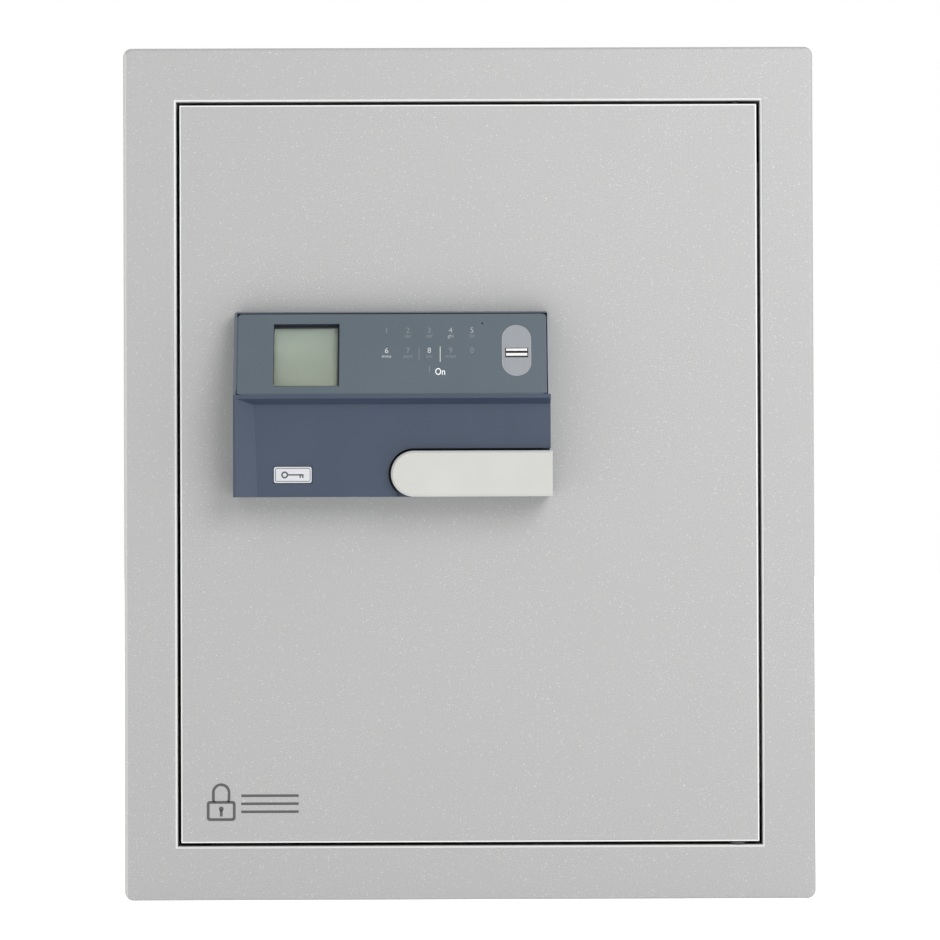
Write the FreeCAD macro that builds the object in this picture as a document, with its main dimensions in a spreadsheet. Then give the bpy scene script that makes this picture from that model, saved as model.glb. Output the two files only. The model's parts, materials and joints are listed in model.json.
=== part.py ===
"""A wall safe with a fingerprint lock, as an assembly of separate pieces.

X runs to the right, Y into the wall and Z up. The origin is the centre of the four anchor holes on
the outer face of the back wall, so the front of the safe faces -Y. All sizes are millimetres.
"""

import FreeCAD, Part

import math
import os
import re

import Sketcher
from FreeCAD import Placement, Rotation, Vector

os.makedirs("parts", exist_ok=True)
doc = FreeCAD.newDocument("wall_safe")

# ---------------------------------------------------------------------------------------------
# Driving dimensions: one spreadsheet cell each
# ---------------------------------------------------------------------------------------------

SIZES = {
    # front frame, a formed sheet with an outer return and a reveal round the opening
    "safe_depth": 240,
    "flange_width": 397,
    "flange_height": 490,
    "frame_sheet": 2.5,
    "flange_corner_radius": 5,
    "flange_bend_radius": 2.1,
    "opening_bend_radius": 1.8,
    "return_depth": 10,
    "opening_width": 336,
    "opening_height": 428,
    "reveal_depth": 14,
    "catch_leg_width": 10,
    # carcass
    "shell_width": 370,
    "shell_height": 463,
    "shell_sheet": 2.5,
    "liner_width": 352,
    "liner_height": 444,
    "liner_sheet": 2,
    "wall_cavity": 12,
    "anchor_hole_radius": 6,
    "anchor_spacing_wide": 240,
    "anchor_spacing_tall": 320,
    "sleeve_wall": 3,
    # wall ties on the outside of the shell
    "tie_length": 120,
    "tie_width": 30,
    "tie_sheet": 2.5,
    "tie_level": 150,
    "tie_screw_y": -66,
    "tie_screw_radius": 4,
    # shelf and mat
    "shelf_level": -12,
    "shelf_sheet": 2,
    "shelf_front_y": -182,
    "shelf_back_y": -16,
    "shelf_edge_drop": 15,
    "shelf_pin_radius": 3,
    "shelf_pin_reach": 9,
    "mat_thickness": 2,
    # door
    "door_gap": 2,
    "leaf_thickness": 10,
    "leaf_edge_radius": 0.8,
    "pan_inset": 6,
    "pan_depth": 33,
    "pan_sheet": 2,
    "pan_lip": 14,
    "cover_sheet": 2,
    # hinge: pins hidden in the top and bottom edges of the leaf
    "hinge_inset": 12,
    "hinge_setback": 6,
    "hinge_pin_radius": 3,
    "hinge_fit": 0.05,
    "hinge_pin_depth": 18,
    "hinge_block_height": 12,
    "washer_radius": 5.2,
    "washer_thickness": 1.7,
    # dead bar on the hinge side
    "claw_reach": 11,
    "claw_height": 360,
    "claw_thickness": 10,
    # door stops
    "stop_height": 6,
    "stop_length": 40,
    "buffer_thickness": 1,
    # locking bolts and their carriage
    "bolt_radius": 8,
    "bolt_y": -213,
    "bolt_tip_x": -163,
    "bolt_length": 32,
    "bolt_spacing": 130,
    "bush_wall": 2.5,
    "bush_length": 10,
    "bush_fit": 0.06,
    "bolt_hole_play": 1,
    "keeper_thickness": 6.5,
    "carriage_plate": 4,
    "carriage_flange_depth": 18,
    "carriage_height": 370,
    "carriage_width": 37,
    "post_radius": 4,
    "post_x": -117,
    "post_level": 62,
    "post_play": 0.3,
    "post_head_radius": 7,
    "bolt_travel": 16.75,
    # rack and pinion
    "pivot_x": -31.4,
    "pivot_z": -0.6,
    "gear_module": 2,
    "gear_teeth": 16,
    "gear_thickness": 6,
    "gear_y": -213,
    "gear_backlash": 0.45,
    "rack_gaps": 7,
    "arm_bottom_z": -34.6,
    "arm_end_x": 2,
    "spindle_radius": 6,
    "spindle_fit": 0.05,
    "spindle_bush_wall": 3,
    "spindle_rear_y": -204,
    # anti-drill plate
    "hard_plate_thickness": 3,
    "hard_plate_width": 94,
    "hard_plate_height": 92,
    # solenoid that blocks the carriage
    "plunger_x": -80,
    "plunger_radius": 4,
    "plunger_drop": 6,
    "plunger_tip_z": -12.4,
    "collar_rise": 5,
    "collar_thickness": 1,
    "spring_wire_radius": 0.45,
    "solenoid_width": 26,
    "solenoid_depth": 19,
    "solenoid_height": 32,
    "solenoid_fit": 0.1,
    # lock housing on the front of the leaf; "proud" is the height over the leaf
    "housing_left_x": -133.7,
    "housing_width": 180,
    "housing_top_z": 92.2,
    "housing_bottom_z": -13.6,
    "housing_wall": 2.2,
    "ledge_proud": 30.5,
    "ledge_top_z": 44,
    "ledge_lip": 1.8,
    "scoop_proud": 24,
    "scoop_top_z": 39,
    "scoop_left_top_x": -122.4,
    "scoop_left_bottom_x": -120.3,
    "border_face": 1.5,
    "panel_slope": 20,
    "panel_gap": 0.5,
    "panel_rim": 1.5,
    "panel_low_margin": 1,
    "panel_height": 49,
    "panel_thickness": 3,
    "panel_ledge": 3,
    # handle
    "handle_radius": 13,
    "handle_end_x": 47.3,
    "handle_proud": 30.5,
    "handle_rear_proud": 9.5,
    "notch_gap": 1.4,
    "notch_floor_proud": 8,
    "notch_tip_x": -41.1,
    "handle_wall": 3,
    "handle_edge": 1.2,
    "handle_hub_radius": 9.5,
    # things on the panel, from the panel's centre: across and up its slope
    "window_x": -48.7,
    "window_up": -0.8,
    "window_width": 37.5,
    "window_height": 38.3,
    "window_recess": 3.6,
    "window_thickness": 1.4,
    "window_collar": 1,
    "lcd_recess": 5,
    "lcd_thickness": 3,
    "finger_x": 70.9,
    "finger_up": 1.7,
    "finger_width": 16.8,
    "finger_height": 31.5,
    "finger_plate_thickness": 1.6,
    "finger_plate_recess": 0.4,
    "sensor_width": 13.2,
    "sensor_height": 5.9,
    "sensor_up": -1.3,
    "sensor_depth": 5,
    "board_thickness": 1.6,
    "board_depth": 9.5,
    "buzzer_radius": 5,
    "buzzer_height": 3,
    # badge plate
    "badge_x": -100.2,
    "badge_z": -1,
    "badge_width": 21.4,
    "badge_height": 9.1,
    "badge_thickness": 1.2,
    "badge_recess": 0.8,
    "badge_gap": 0.4,
    # battery compartment on the inside of the door
    "cell_radius": 7.2,
    "cell_length": 50.5,
    "cell_count": 4,
    "battery_x": 62,
    "battery_z": 84,
    "battery_wall": 1.5,
    "battery_cover_thickness": 2,
    "battery_cover_gap": 0.3,
}

sheet = doc.addObject("Spreadsheet::Sheet", "dims")
for row, (alias, size) in enumerate(SIZES.items(), start=1):
    sheet.set(f"A{row}", alias)
    sheet.set(f"B{row}", str(size))
    sheet.setAlias(f"B{row}", alias)
doc.recompute()

# Places worked out from the driving dimensions, each spelled in their names
PLACES = {
    "front_y": "-safe_depth",
    "flange_rear_y": "front_y + frame_sheet",
    "return_rear_y": "front_y + return_depth",
    "reveal_rear_y": "front_y + reveal_depth",
    "liner_front_y": "reveal_rear_y + frame_sheet",
    "leaf_width": "opening_width - 2 * door_gap",
    "leaf_height": "opening_height - 2 * door_gap",
    "leaf_rear_y": "front_y + leaf_thickness",
    "pan_width": "leaf_width - 2 * pan_inset",
    "pan_height": "leaf_height - 2 * pan_inset",
    "pan_rear_y": "leaf_rear_y + pan_depth",
    "cover_rear_y": "pan_rear_y + cover_sheet",
    "hinge_x": "leaf_width / 2 - hinge_inset",
    "hinge_y": "front_y + hinge_setback",
    "liner_inner_width": "liner_width - 2 * liner_sheet",
    "liner_inner_height": "liner_height - 2 * liner_sheet",
    "liner_rear_y": "-wall_cavity",
    "liner_inner_rear_y": "liner_rear_y - liner_sheet",
    "shell_inner_rear_y": "-shell_sheet",
    "bolt_end_x": "bolt_tip_x + bolt_length",
    "carriage_x": "bolt_end_x + carriage_plate",
    "gear_radius": "gear_module * gear_teeth / 2",
    "rack_top_z": "pivot_z - gear_radius + 0.9 * gear_module",
    "rack_root_z": "pivot_z - gear_radius - 1.25 * gear_module",
    "housing_right_x": "housing_left_x + housing_width",
    "housing_x": "housing_left_x + housing_width / 2",
    "panel_width": "housing_width - 2 * (panel_rim + panel_gap)",
    "panel_rise": "panel_low_margin + panel_height / 2",
    "panel_z": "ledge_top_z + panel_rise * cos(panel_slope)",
    "panel_y": "front_y - ledge_proud + panel_rise * sin(panel_slope)",
    "notch_radius": "handle_radius + notch_gap",
    "battery_width": "2 * cell_radius * cell_count + 3",
    "battery_height": "cell_length + 5",
}


def cells(text):
    """Spell a size or a place as an expression on the spreadsheet's cells."""

    def spell(match):
        word = match[0]
        if word in PLACES:
            return f"({cells(PLACES[word])})"
        return f"dims.{word}" if word in SIZES else word

    return re.sub(r"[a-z]\w*", spell, str(text))


def value(text):
    """The number that a size or a place comes to."""
    return float(sheet.evalExpression(cells(text)))


# ---------------------------------------------------------------------------------------------
# Part primitives with bound sizes and places
# ---------------------------------------------------------------------------------------------

AXIS_TURN = {
    "x": Rotation(Vector(0, 1, 0), 90),
    "y": Rotation(Vector(1, 0, 0), -90),
    "z": Rotation(),
}


def move_to(obj, x, y, z):
    """Bind the place of an object."""
    for axis, text in zip("xyz", (x, y, z)):
        obj.setExpression(f".Placement.Base.{axis}", cells(text))


def box(name, x, y, z):
    """A block between two places along each axis."""
    obj = doc.addObject("Part::Box", name)
    for side, (low, high) in zip(("Length", "Width", "Height"), (x, y, z)):
        obj.setExpression(side, cells(f"({high}) - ({low})"))
    move_to(obj, x[0], y[0], z[0])
    return obj


def rod(name, axis, radius, span, centre):
    """A cylinder along an axis, over a span, with its centre line at the other two coordinates."""
    obj = doc.addObject("Part::Cylinder", name)
    obj.setExpression("Radius", cells(radius))
    obj.setExpression("Height", cells(f"({span[1]}) - ({span[0]})"))
    obj.Placement = Placement(Vector(), AXIS_TURN[axis])
    place = list(centre)
    place.insert("xyz".index(axis), span[0])
    move_to(obj, *place)
    return obj


def join(name, *pieces):
    """One solid from several that touch or overlap."""
    obj = doc.addObject("Part::MultiFuse", name)
    obj.Shapes = list(pieces)
    obj.Refine = True
    return obj


def cut(name, base, *tools):
    """A solid with one or more others taken out of it."""
    obj = doc.addObject("Part::Cut", name)
    obj.Base = base
    obj.Tool = tools[0] if len(tools) == 1 else join(f"{name}_tools", *tools)
    return obj


def ring(name, axis, outer, inner, span, centre):
    """A tube along an axis."""
    return cut(name, rod(f"{name}_outside", axis, outer, span, centre),
               rod(f"{name}_bore", axis, inner, span, centre))


def group(name, *pieces):
    """Identical pieces that stay separate solids."""
    obj = doc.addObject("Part::Compound", name)
    obj.Links = list(pieces)
    return obj


# ---------------------------------------------------------------------------------------------
# PartDesign bodies
# ---------------------------------------------------------------------------------------------

def new_body(name):
    """An empty PartDesign body."""
    return doc.addObject("PartDesign::Body", name)


def new_sketch(body, plane, away="0", across="0", up="0", slope=None):
    """A sketch on an origin plane of its body, moved along the plane's normal and within it.

    The normals are +Z for XY, -Y for XZ and +X for YZ. slope leans the sketch back about its X axis.
    """
    sketch = body.newObject("Sketcher::SketchObject", "sketch")
    support = next(f for f in body.Origin.OriginFeatures if f.Role == f"{plane}_Plane")
    sketch.AttachmentSupport = [(support, "")]
    sketch.MapMode = "FlatFace"
    if slope:
        sketch.AttachmentOffset = Placement(Vector(), Rotation(Vector(1, 0, 0), -1))
        sketch.setExpression(".AttachmentOffset.Rotation.Angle", cells(f"-({slope})"))
    for axis, text in zip("xyz", (across, up, away)):
        sketch.setExpression(f".AttachmentOffset.Base.{axis}", cells(text))
    return sketch


def pin_point(sketch, edge, end, point, only=None):
    """Hold one end of an edge, or its centre, at a place that the spreadsheet drives."""
    for kind, text in zip(("DistanceX", "DistanceY"), point):
        if only in (None, kind):
            rule = sketch.addConstraint(Sketcher.Constraint(kind, -1, 1, edge, end, value(text)))
            sketch.setExpression(f"Constraints[{rule}]", cells(text))


def outline(sketch, points):
    """A closed outline. A point is (across, up), or (across, up, bend, centre) to reach it by an arc,
    where bend is a point that the arc passes through on its way there."""
    first = sketch.GeometryCount
    ends = [Vector(value(p[0]), value(p[1]), 0) for p in points]
    for number, point in enumerate(points):
        edge = first + number
        before, after = ends[number - 1], ends[number]
        if len(point) == 2:
            sketch.addGeometry(Part.LineSegment(before, after), False)
            pin_point(sketch, edge, 1, points[number - 1])
            pin_point(sketch, edge, 2, point)
            continue
        bend, centre = (Vector(value(p[0]), value(p[1]), 0) for p in point[2:])
        sketch.addGeometry(Part.Arc(before, bend, after), False)
        clockwise = (bend - before).cross(after - bend).z < 0
        radial = after - centre
        pin_point(sketch, edge, 3, point[3])
        pin_point(sketch, edge, 2 if clockwise else 1, points[number - 1])
        pin_point(sketch, edge, 1 if clockwise else 2, point,
                  only="DistanceX" if abs(radial.y) > abs(radial.x) else "DistanceY")
    return sketch


def rectangle(sketch, across, up):
    """A rectangle between two places across and two places up."""
    return outline(sketch, [(across[0], up[0]), (across[1], up[0]), (across[1], up[1]),
                            (across[0], up[1])])


def centred_rectangle(sketch, width, height):
    """A rectangle round the sketch's origin."""
    return rectangle(sketch, (f"-({width}) / 2", f"({width}) / 2"),
                     (f"-({height}) / 2", f"({height}) / 2"))


def circle(sketch, radius, across="0", up="0"):
    """A circle with a bound radius and centre."""
    edge = sketch.addGeometry(Part.Circle(Vector(value(across), value(up), 0), Vector(0, 0, 1),
                                          value(radius)), False)
    rule = sketch.addConstraint(Sketcher.Constraint("Radius", edge, value(radius)))
    sketch.setExpression(f"Constraints[{rule}]", cells(radius))
    pin_point(sketch, edge, 3, (across, up))
    return sketch


def stadium(sketch, length, radius):
    """An upright slot shape about the sketch's origin: length is end to end."""
    straight = f"(({length}) / 2 - ({radius}))"
    return outline(sketch, [
        (f"-({radius})", f"-{straight}"),
        (radius, f"-{straight}", ("0", f"-({length}) / 2"), ("0", f"-{straight}")),
        (radius, straight),
        (f"-({radius})", straight, ("0", f"({length}) / 2"), ("0", straight))])


def pad(body, sketch, length, reverse=False):
    """Grow the body from a sketch, along its normal, or against it when reversed."""
    feature = body.newObject("PartDesign::Pad", "pad")
    feature.Profile = sketch
    feature.Reversed = reverse
    feature.setExpression("Length", cells(length))
    doc.recompute()
    return feature


def must_shrink(body, before, feature):
    """Stop the build when a cut misses its body."""
    if body.Shape.Volume > before - 0.01:
        raise RuntimeError(f"{body.Label}: {feature.Label} takes nothing away")


def pocket(body, sketch, length, reverse=False):
    """Cut the body from a sketch, against its normal, or along it when reversed."""
    before = body.Shape.Volume
    feature = body.newObject("PartDesign::Pocket", "pocket")
    feature.Profile = sketch
    feature.Reversed = reverse
    feature.setExpression("Length", cells(length))
    doc.recompute()
    must_shrink(body, before, feature)
    return feature


def soften(body, kind, size, chosen):
    """Fillet or chamfer the edges of the body that a test picks out by their bounding box."""
    before = body.Shape.Volume
    tip = body.Tip
    names = [f"Edge{number}" for number, edge in enumerate(tip.Shape.Edges, start=1)
             if chosen(edge.BoundBox)]
    feature = body.newObject(f"PartDesign::{kind}", kind.lower())
    feature.Base = (tip, names)
    feature.setExpression("Radius" if kind == "Fillet" else "Size", cells(size))
    doc.recompute()
    if abs(body.Shape.Volume - before) < 0.001:
        raise RuntimeError(f"{body.Label}: {feature.Label} changes nothing")
    return feature


def near(number, text):
    """Whether a coordinate is at a place."""
    return abs(number - value(text)) < 0.01


# ---------------------------------------------------------------------------------------------
# Nodes: the pieces that are written out
# ---------------------------------------------------------------------------------------------

NODES = {}


def node(obj, name):
    """Name a finished piece."""
    obj.Label = name
    NODES[name] = obj
    return obj


# ---------------------------------------------------------------------------------------------
# Front frame and carcass
# ---------------------------------------------------------------------------------------------

def block(body, rear_y, depth, width, height):
    """A centred rectangular block that stands forward from rear_y."""
    pad(body, centred_rectangle(new_sketch(body, "XZ", away=f"-({rear_y})"), width, height), depth)


def hollow(body, front_y, depth, width, height):
    """A centred rectangular pocket that goes back from front_y."""
    sketch = new_sketch(body, "XZ", away=f"-({front_y})")
    pocket(body, centred_rectangle(sketch, width, height), depth)


def make_front_frame():
    """One formed sheet: flange, return to the wall, reveal and the leg that the bolts catch."""
    body = new_body("front_frame_body")
    block(body, "return_rear_y", "return_depth", "flange_width", "flange_height")
    soften(body, "Fillet", "flange_corner_radius", lambda b: b.YLength > 1)
    soften(body, "Fillet", "flange_bend_radius", lambda b: near(b.YMin, "front_y") and b.YLength < 1)
    rear = new_sketch(body, "XZ", away="-return_rear_y")
    centred_rectangle(rear, "flange_width - 2 * frame_sheet", "flange_height - 2 * frame_sheet")
    pocket(body, rear, "return_depth - frame_sheet", reverse=True)
    block(body, "reveal_rear_y", "reveal_depth - frame_sheet", "opening_width + 2 * frame_sheet",
          "opening_height + 2 * frame_sheet")
    block(body, "liner_front_y", "frame_sheet", "opening_width + 2 * catch_leg_width",
          "opening_height + 2 * catch_leg_width")
    hollow(body, "front_y", "reveal_depth + frame_sheet", "opening_width", "opening_height")
    soften(body, "Fillet", "opening_bend_radius",
           lambda b: near(b.YMax, "front_y") and b.XMax < value("opening_width / 2 + 1")
           and b.XMin > value("-opening_width / 2 - 1"))
    for side in (1, -1):
        sketch = new_sketch(body, "XY", away=f"{side} * (opening_height / 2 + 2 * frame_sheet)",
                            across="hinge_x", up="hinge_y")
        pocket(body, circle(sketch, "hinge_pin_radius"), "4 * frame_sheet", reverse=side < 0)
    node(body, "front_frame")


def drill_back(body, radius, rear_y, depth):
    """The four anchor holes through a back wall."""
    sketch = new_sketch(body, "XZ", away=f"-({rear_y})")
    for right in (1, -1):
        for high in (1, -1):
            circle(sketch, radius, f"{right} * anchor_spacing_wide / 2",
                   f"{high} * anchor_spacing_tall / 2")
    pocket(body, sketch, depth, reverse=True)


def drill_sides(body, radius, outer_x, depth, places):
    """Holes through both side walls, at (y, z) places."""
    for side in (1, -1):
        sketch = new_sketch(body, "YZ", away=f"{side} * ({outer_x})")
        for across, up in places:
            circle(sketch, radius, across, up)
        pocket(body, sketch, depth, reverse=side < 0)


def make_shell():
    """The outer box of the carcass, welded to the back of the flange."""
    body = new_body("outer_shell_body")
    block(body, "0", "-flange_rear_y", "shell_width", "shell_height")
    hollow(body, "flange_rear_y", "-flange_rear_y - shell_sheet", "shell_width - 2 * shell_sheet",
           "shell_height - 2 * shell_sheet")
    drill_back(body, "anchor_hole_radius", "0", "2 * shell_sheet")
    drill_sides(body, "tie_screw_radius", "shell_width / 2", "2 * shell_sheet",
                [("tie_screw_y", f"{side} * tie_level") for side in (1, -1)])
    node(body, "outer_shell")


SHELF_PIN_PLACES = [(y, "shelf_level - shelf_sheet - shelf_pin_radius")
                    for y in ("shelf_front_y + 26", "shelf_back_y - 26")]


def make_liner():
    """The inner box, with holes for the bolts on the left and for the shelf pins."""
    body = new_body("inner_liner_body")
    block(body, "liner_rear_y", "liner_rear_y - liner_front_y", "liner_width", "liner_height")
    hollow(body, "liner_front_y", "liner_inner_rear_y - liner_front_y", "liner_inner_width",
           "liner_inner_height")
    drill_back(body, "anchor_hole_radius", "liner_rear_y", "2 * liner_sheet")
    drill_sides(body, "shelf_pin_radius", "liner_width / 2", "2 * liner_sheet", SHELF_PIN_PLACES)
    sketch = new_sketch(body, "YZ", away="-liner_width / 2")
    for step in (-1, 0, 1):
        circle(sketch, "bolt_radius + bolt_hole_play", "bolt_y", f"{step} * bolt_spacing")
    pocket(body, sketch, "2 * liner_sheet", reverse=True)
    node(body, "inner_liner")


def make_anchor_sleeves():
    """Tubes between the two back walls, so that the anchor screws don't crush the cavity."""
    sleeves = []
    for right in (1, -1):
        for high in (1, -1):
            centre = (f"{right} * anchor_spacing_wide / 2", f"{high} * anchor_spacing_tall / 2")
            sleeves.append(ring(f"sleeve_{len(sleeves) + 1}", "y", "anchor_hole_radius + sleeve_wall",
                                "anchor_hole_radius", ("liner_rear_y", "shell_inner_rear_y"), centre))
    node(group("sleeves", *sleeves), "anchor_sleeves")


def make_bolt_keeper():
    """The plate between liner and shell that the thrown bolts enter."""
    body = new_body("bolt_keeper_body")
    sketch = new_sketch(body, "YZ", away="-liner_width / 2")
    rectangle(sketch, ("bolt_y - 10", "bolt_y + 15"), ("-bolt_spacing - 30", "bolt_spacing + 30"))
    for step in (-1, 0, 1):
        circle(sketch, "bolt_radius + bolt_hole_play", "bolt_y", f"{step} * bolt_spacing")
    pad(body, sketch, "keeper_thickness", reverse=True)
    node(body, "bolt_keeper")


def make_wall_ties():
    """Flat straps on the shell's sides, bent out into the mortar when the safe is set in a wall."""
    ties = []
    screws = []
    for side in (1, -1):
        for high in (1, -1):
            number = len(ties) + 1
            shell_x = f"{side} * shell_width / 2"
            outer_x = f"{side} * (shell_width / 2 + tie_sheet)"
            head_x = f"{side} * (shell_width / 2 + tie_sheet + 3)"
            inner_x = f"{side} * (shell_width / 2 - shell_sheet)"
            low_x, high_x = (shell_x, outer_x) if side > 0 else (outer_x, shell_x)
            strap = box(f"tie_strap_{number}", (low_x, high_x),
                        ("tie_screw_y - tie_length + 15", "tie_screw_y + 15"),
                        (f"{high} * tie_level - tie_width / 2", f"{high} * tie_level + tie_width / 2"))
            centre = ("tie_screw_y", f"{high} * tie_level")
            through = (low_x, high_x)
            ties.append(cut(f"tie_{number}", strap,
                            rod(f"tie_hole_{number}", "x", "tie_screw_radius", through, centre)))
            shank = (inner_x, outer_x) if side > 0 else (outer_x, inner_x)
            head = (outer_x, head_x) if side > 0 else (head_x, outer_x)
            screws.append(join(f"tie_screw_{number}",
                               rod(f"tie_shank_{number}", "x", "tie_screw_radius", shank, centre),
                               rod(f"tie_head_{number}", "x", "2 * tie_screw_radius", head, centre)))
    node(group("ties", *ties), "wall_ties")
    node(group("tie_screws", *screws), "wall_tie_screws")


# ---------------------------------------------------------------------------------------------
# Hinge and door stops
# ---------------------------------------------------------------------------------------------

def make_hinge():
    """Pins that stand in blocks above and below the opening and enter the leaf's edges."""
    centre = ("hinge_x", "hinge_y")
    for side, word in ((1, "upper"), (-1, "lower")):
        frame_z = f"{side} * (opening_height / 2 + frame_sheet)"
        block_z = f"{side} * (opening_height / 2 + frame_sheet + hinge_block_height)"
        tip_z = f"{side} * (leaf_height / 2 - hinge_pin_depth)"
        along = (frame_z, block_z) if side > 0 else (block_z, frame_z)
        pin_span = (tip_z, block_z) if side > 0 else (block_z, tip_z)
        solid = box(f"{word}_block", ("hinge_x - 12", "hinge_x + 12"),
                    ("flange_rear_y", "reveal_rear_y"), along)
        hole = rod(f"{word}_block_hole", "z", "hinge_pin_radius", along, centre)
        node(cut(f"{word}_block_bored", solid, hole), f"{word}_hinge_block")
        node(rod(f"{word}_pin", "z", "hinge_pin_radius", pin_span, centre), f"{word}_hinge_pin")
    floor_z = "-opening_height / 2"
    node(ring("washer", "z", "washer_radius", "hinge_pin_radius",
              (floor_z, f"{floor_z} + washer_thickness"), centre), "hinge_washer")


def make_door_stops():
    """Blocks on the top and bottom of the reveal, with a rubber face that the leaf rests on."""
    stops = []
    buffers = []
    face_y = "leaf_rear_y + 0.3 + buffer_thickness"
    for side in (1, -1):
        outer_z = f"{side} * opening_height / 2"
        inner_z = f"{side} * (opening_height / 2 - stop_height)"
        span = (inner_z, outer_z) if side > 0 else (outer_z, inner_z)
        across = ("-opening_width / 2 + 20", "-opening_width / 2 + 20 + stop_length")
        stops.append(box(f"stop_{len(stops) + 1}", across, (face_y, "liner_front_y"), span))
        buffers.append(box(f"buffer_{len(stops)}", across, ("leaf_rear_y + 0.3", face_y), span))
    node(group("stops", *stops), "door_stops")
    node(group("buffers", *buffers), "stop_buffers")


# ---------------------------------------------------------------------------------------------
# Shelf and mat
# ---------------------------------------------------------------------------------------------

def make_shelf():
    """A sheet with its front and back edges folded down, on four pins."""
    body = new_body("shelf_body")
    sketch = new_sketch(body, "YZ", away="-(liner_inner_width - 1) / 2")
    edge_z = "shelf_level - shelf_edge_drop"
    under_z = "shelf_level - shelf_sheet"
    outline(sketch, [
        ("shelf_front_y", edge_z), ("shelf_front_y + shelf_sheet", edge_z),
        ("shelf_front_y + shelf_sheet", under_z), ("shelf_back_y - shelf_sheet", under_z),
        ("shelf_back_y - shelf_sheet", edge_z), ("shelf_back_y", edge_z),
        ("shelf_back_y", "shelf_level"), ("shelf_front_y", "shelf_level")])
    pad(body, sketch, "liner_inner_width - 1")
    soften(body, "Fillet", "1.5", lambda b: b.XLength > 50 and near(b.ZMin, "shelf_level"))
    node(body, "shelf")
    pins = []
    for side in (1, -1):
        outer = f"{side} * liner_width / 2"
        inner = f"{side} * (liner_width / 2 - shelf_pin_reach)"
        span = (inner, outer) if side > 0 else (outer, inner)
        for place in SHELF_PIN_PLACES:
            pins.append(rod(f"shelf_pin_{len(pins) + 1}", "x", "shelf_pin_radius", span, place))
    node(group("pins", *pins), "shelf_pins")


def make_mat():
    """A felt mat on the floor of the compartment."""
    floor_z = "-liner_inner_height / 2"
    mat = box("mat", ("-liner_inner_width / 2 + 3", "liner_inner_width / 2 - 3"),
              ("cover_rear_y + 12", "liner_inner_rear_y - 3"), (floor_z, f"{floor_z} + mat_thickness"))
    node(mat, "floor_mat")


# ---------------------------------------------------------------------------------------------
# Door
# ---------------------------------------------------------------------------------------------

HOUSING_SCREWS = [
    ("housing_left_x + 12", "housing_top_z - 12"),
    ("housing_left_x + 12", "housing_bottom_z + 10"),
    ("housing_x + 12", "housing_top_z - 12"),
]
CABLE_HOLE = ("pivot_x + 45", "pivot_z + 34")
POST_LEVELS = [f"{step} * post_level" for step in (-2.5, -1, 1, 2.5)]


def make_leaf():
    """The door's front plate, bored in its edges for the hinge pins."""
    body = new_body("door_leaf_body")
    block(body, "leaf_rear_y", "leaf_thickness", "leaf_width", "leaf_height")
    soften(body, "Fillet", "leaf_edge_radius", lambda b: near(b.YMax, "front_y"))
    sketch = new_sketch(body, "XZ", away="-front_y")
    circle(sketch, "spindle_radius + spindle_bush_wall", "pivot_x", "pivot_z")
    circle(sketch, "9", *CABLE_HOLE)
    for place in HOUSING_SCREWS:
        circle(sketch, "2", *place)
    pocket(body, sketch, "leaf_thickness + 1")
    for side in (1, -1):
        edge = new_sketch(body, "XY", away=f"{side} * leaf_height / 2", across="hinge_x", up="hinge_y")
        pocket(body, circle(edge, "hinge_pin_radius + hinge_fit"), "hinge_pin_depth + 1",
               reverse=side < 0)
    node(body, "door_leaf")


def make_pan():
    """The tray of the double-walled door: four walls behind the leaf and a lip for the cover."""
    body = new_body("door_pan_body")
    block(body, "pan_rear_y", "pan_depth", "pan_width", "pan_height")
    hollow(body, "leaf_rear_y", "pan_depth - pan_sheet", "pan_width - 2 * pan_sheet",
           "pan_height - 2 * pan_sheet")
    hollow(body, "pan_rear_y - pan_sheet", "2 * pan_sheet", "pan_width - 2 * pan_lip",
           "pan_height - 2 * pan_lip")
    sketch = new_sketch(body, "YZ", away="-pan_width / 2")
    for step in (-1, 0, 1):
        circle(sketch, "bolt_radius + bush_fit + bush_wall", "bolt_y", f"{step} * bolt_spacing")
    pocket(body, sketch, "2 * pan_sheet", reverse=True)
    drill_cover_screws(body, "pan_rear_y", "2 * pan_sheet")
    node(body, "door_pan")


def cover_screw_places():
    """Places along the lip: three each side and one more in the middle of the top and bottom."""
    inset = "pan_lip / 2 + pan_sheet / 2"
    places = [(f"{side} * (pan_width / 2 - ({inset}))", f"{step} * (pan_height / 2 - ({inset}))")
              for side in (1, -1) for step in (-1, 0, 1)]
    return places + [("0", f"{side} * (pan_height / 2 - ({inset}))") for side in (1, -1)]


def drill_cover_screws(body, rear_y, depth):
    """The screws' holes, from a piece's rear face."""
    sketch = new_sketch(body, "XZ", away=f"-({rear_y})")
    for place in cover_screw_places():
        circle(sketch, "2", *place)
    pocket(body, sketch, depth, reverse=True)


def make_inner_cover():
    """The door's inner face, with the opening of the battery compartment."""
    body = new_body("door_inner_cover_body")
    block(body, "cover_rear_y", "cover_sheet", "pan_width", "pan_height")
    soften(body, "Fillet", "3", lambda b: b.XLength < 0.01 and b.ZLength < 0.01)
    drill_cover_screws(body, "cover_rear_y", "2 * cover_sheet")
    sketch = new_sketch(body, "XZ", away="-cover_rear_y", across="battery_x", up="battery_z")
    pocket(body, centred_rectangle(sketch, "battery_width", "battery_height"), "2 * cover_sheet",
           reverse=True)
    node(body, "door_inner_cover")
    screws = []
    for number, place in enumerate(cover_screw_places(), start=1):
        shank = rod(f"cover_shank_{number}", "y", "2", ("pan_rear_y - pan_sheet", "cover_rear_y"), place)
        head = rod(f"cover_head_{number}", "y", "3.8", ("cover_rear_y", "cover_rear_y + 2"), place)
        screws.append(join(f"cover_screw_{number}", shank, head))
    node(group("cover_screw_set", *screws), "cover_screws")


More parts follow.
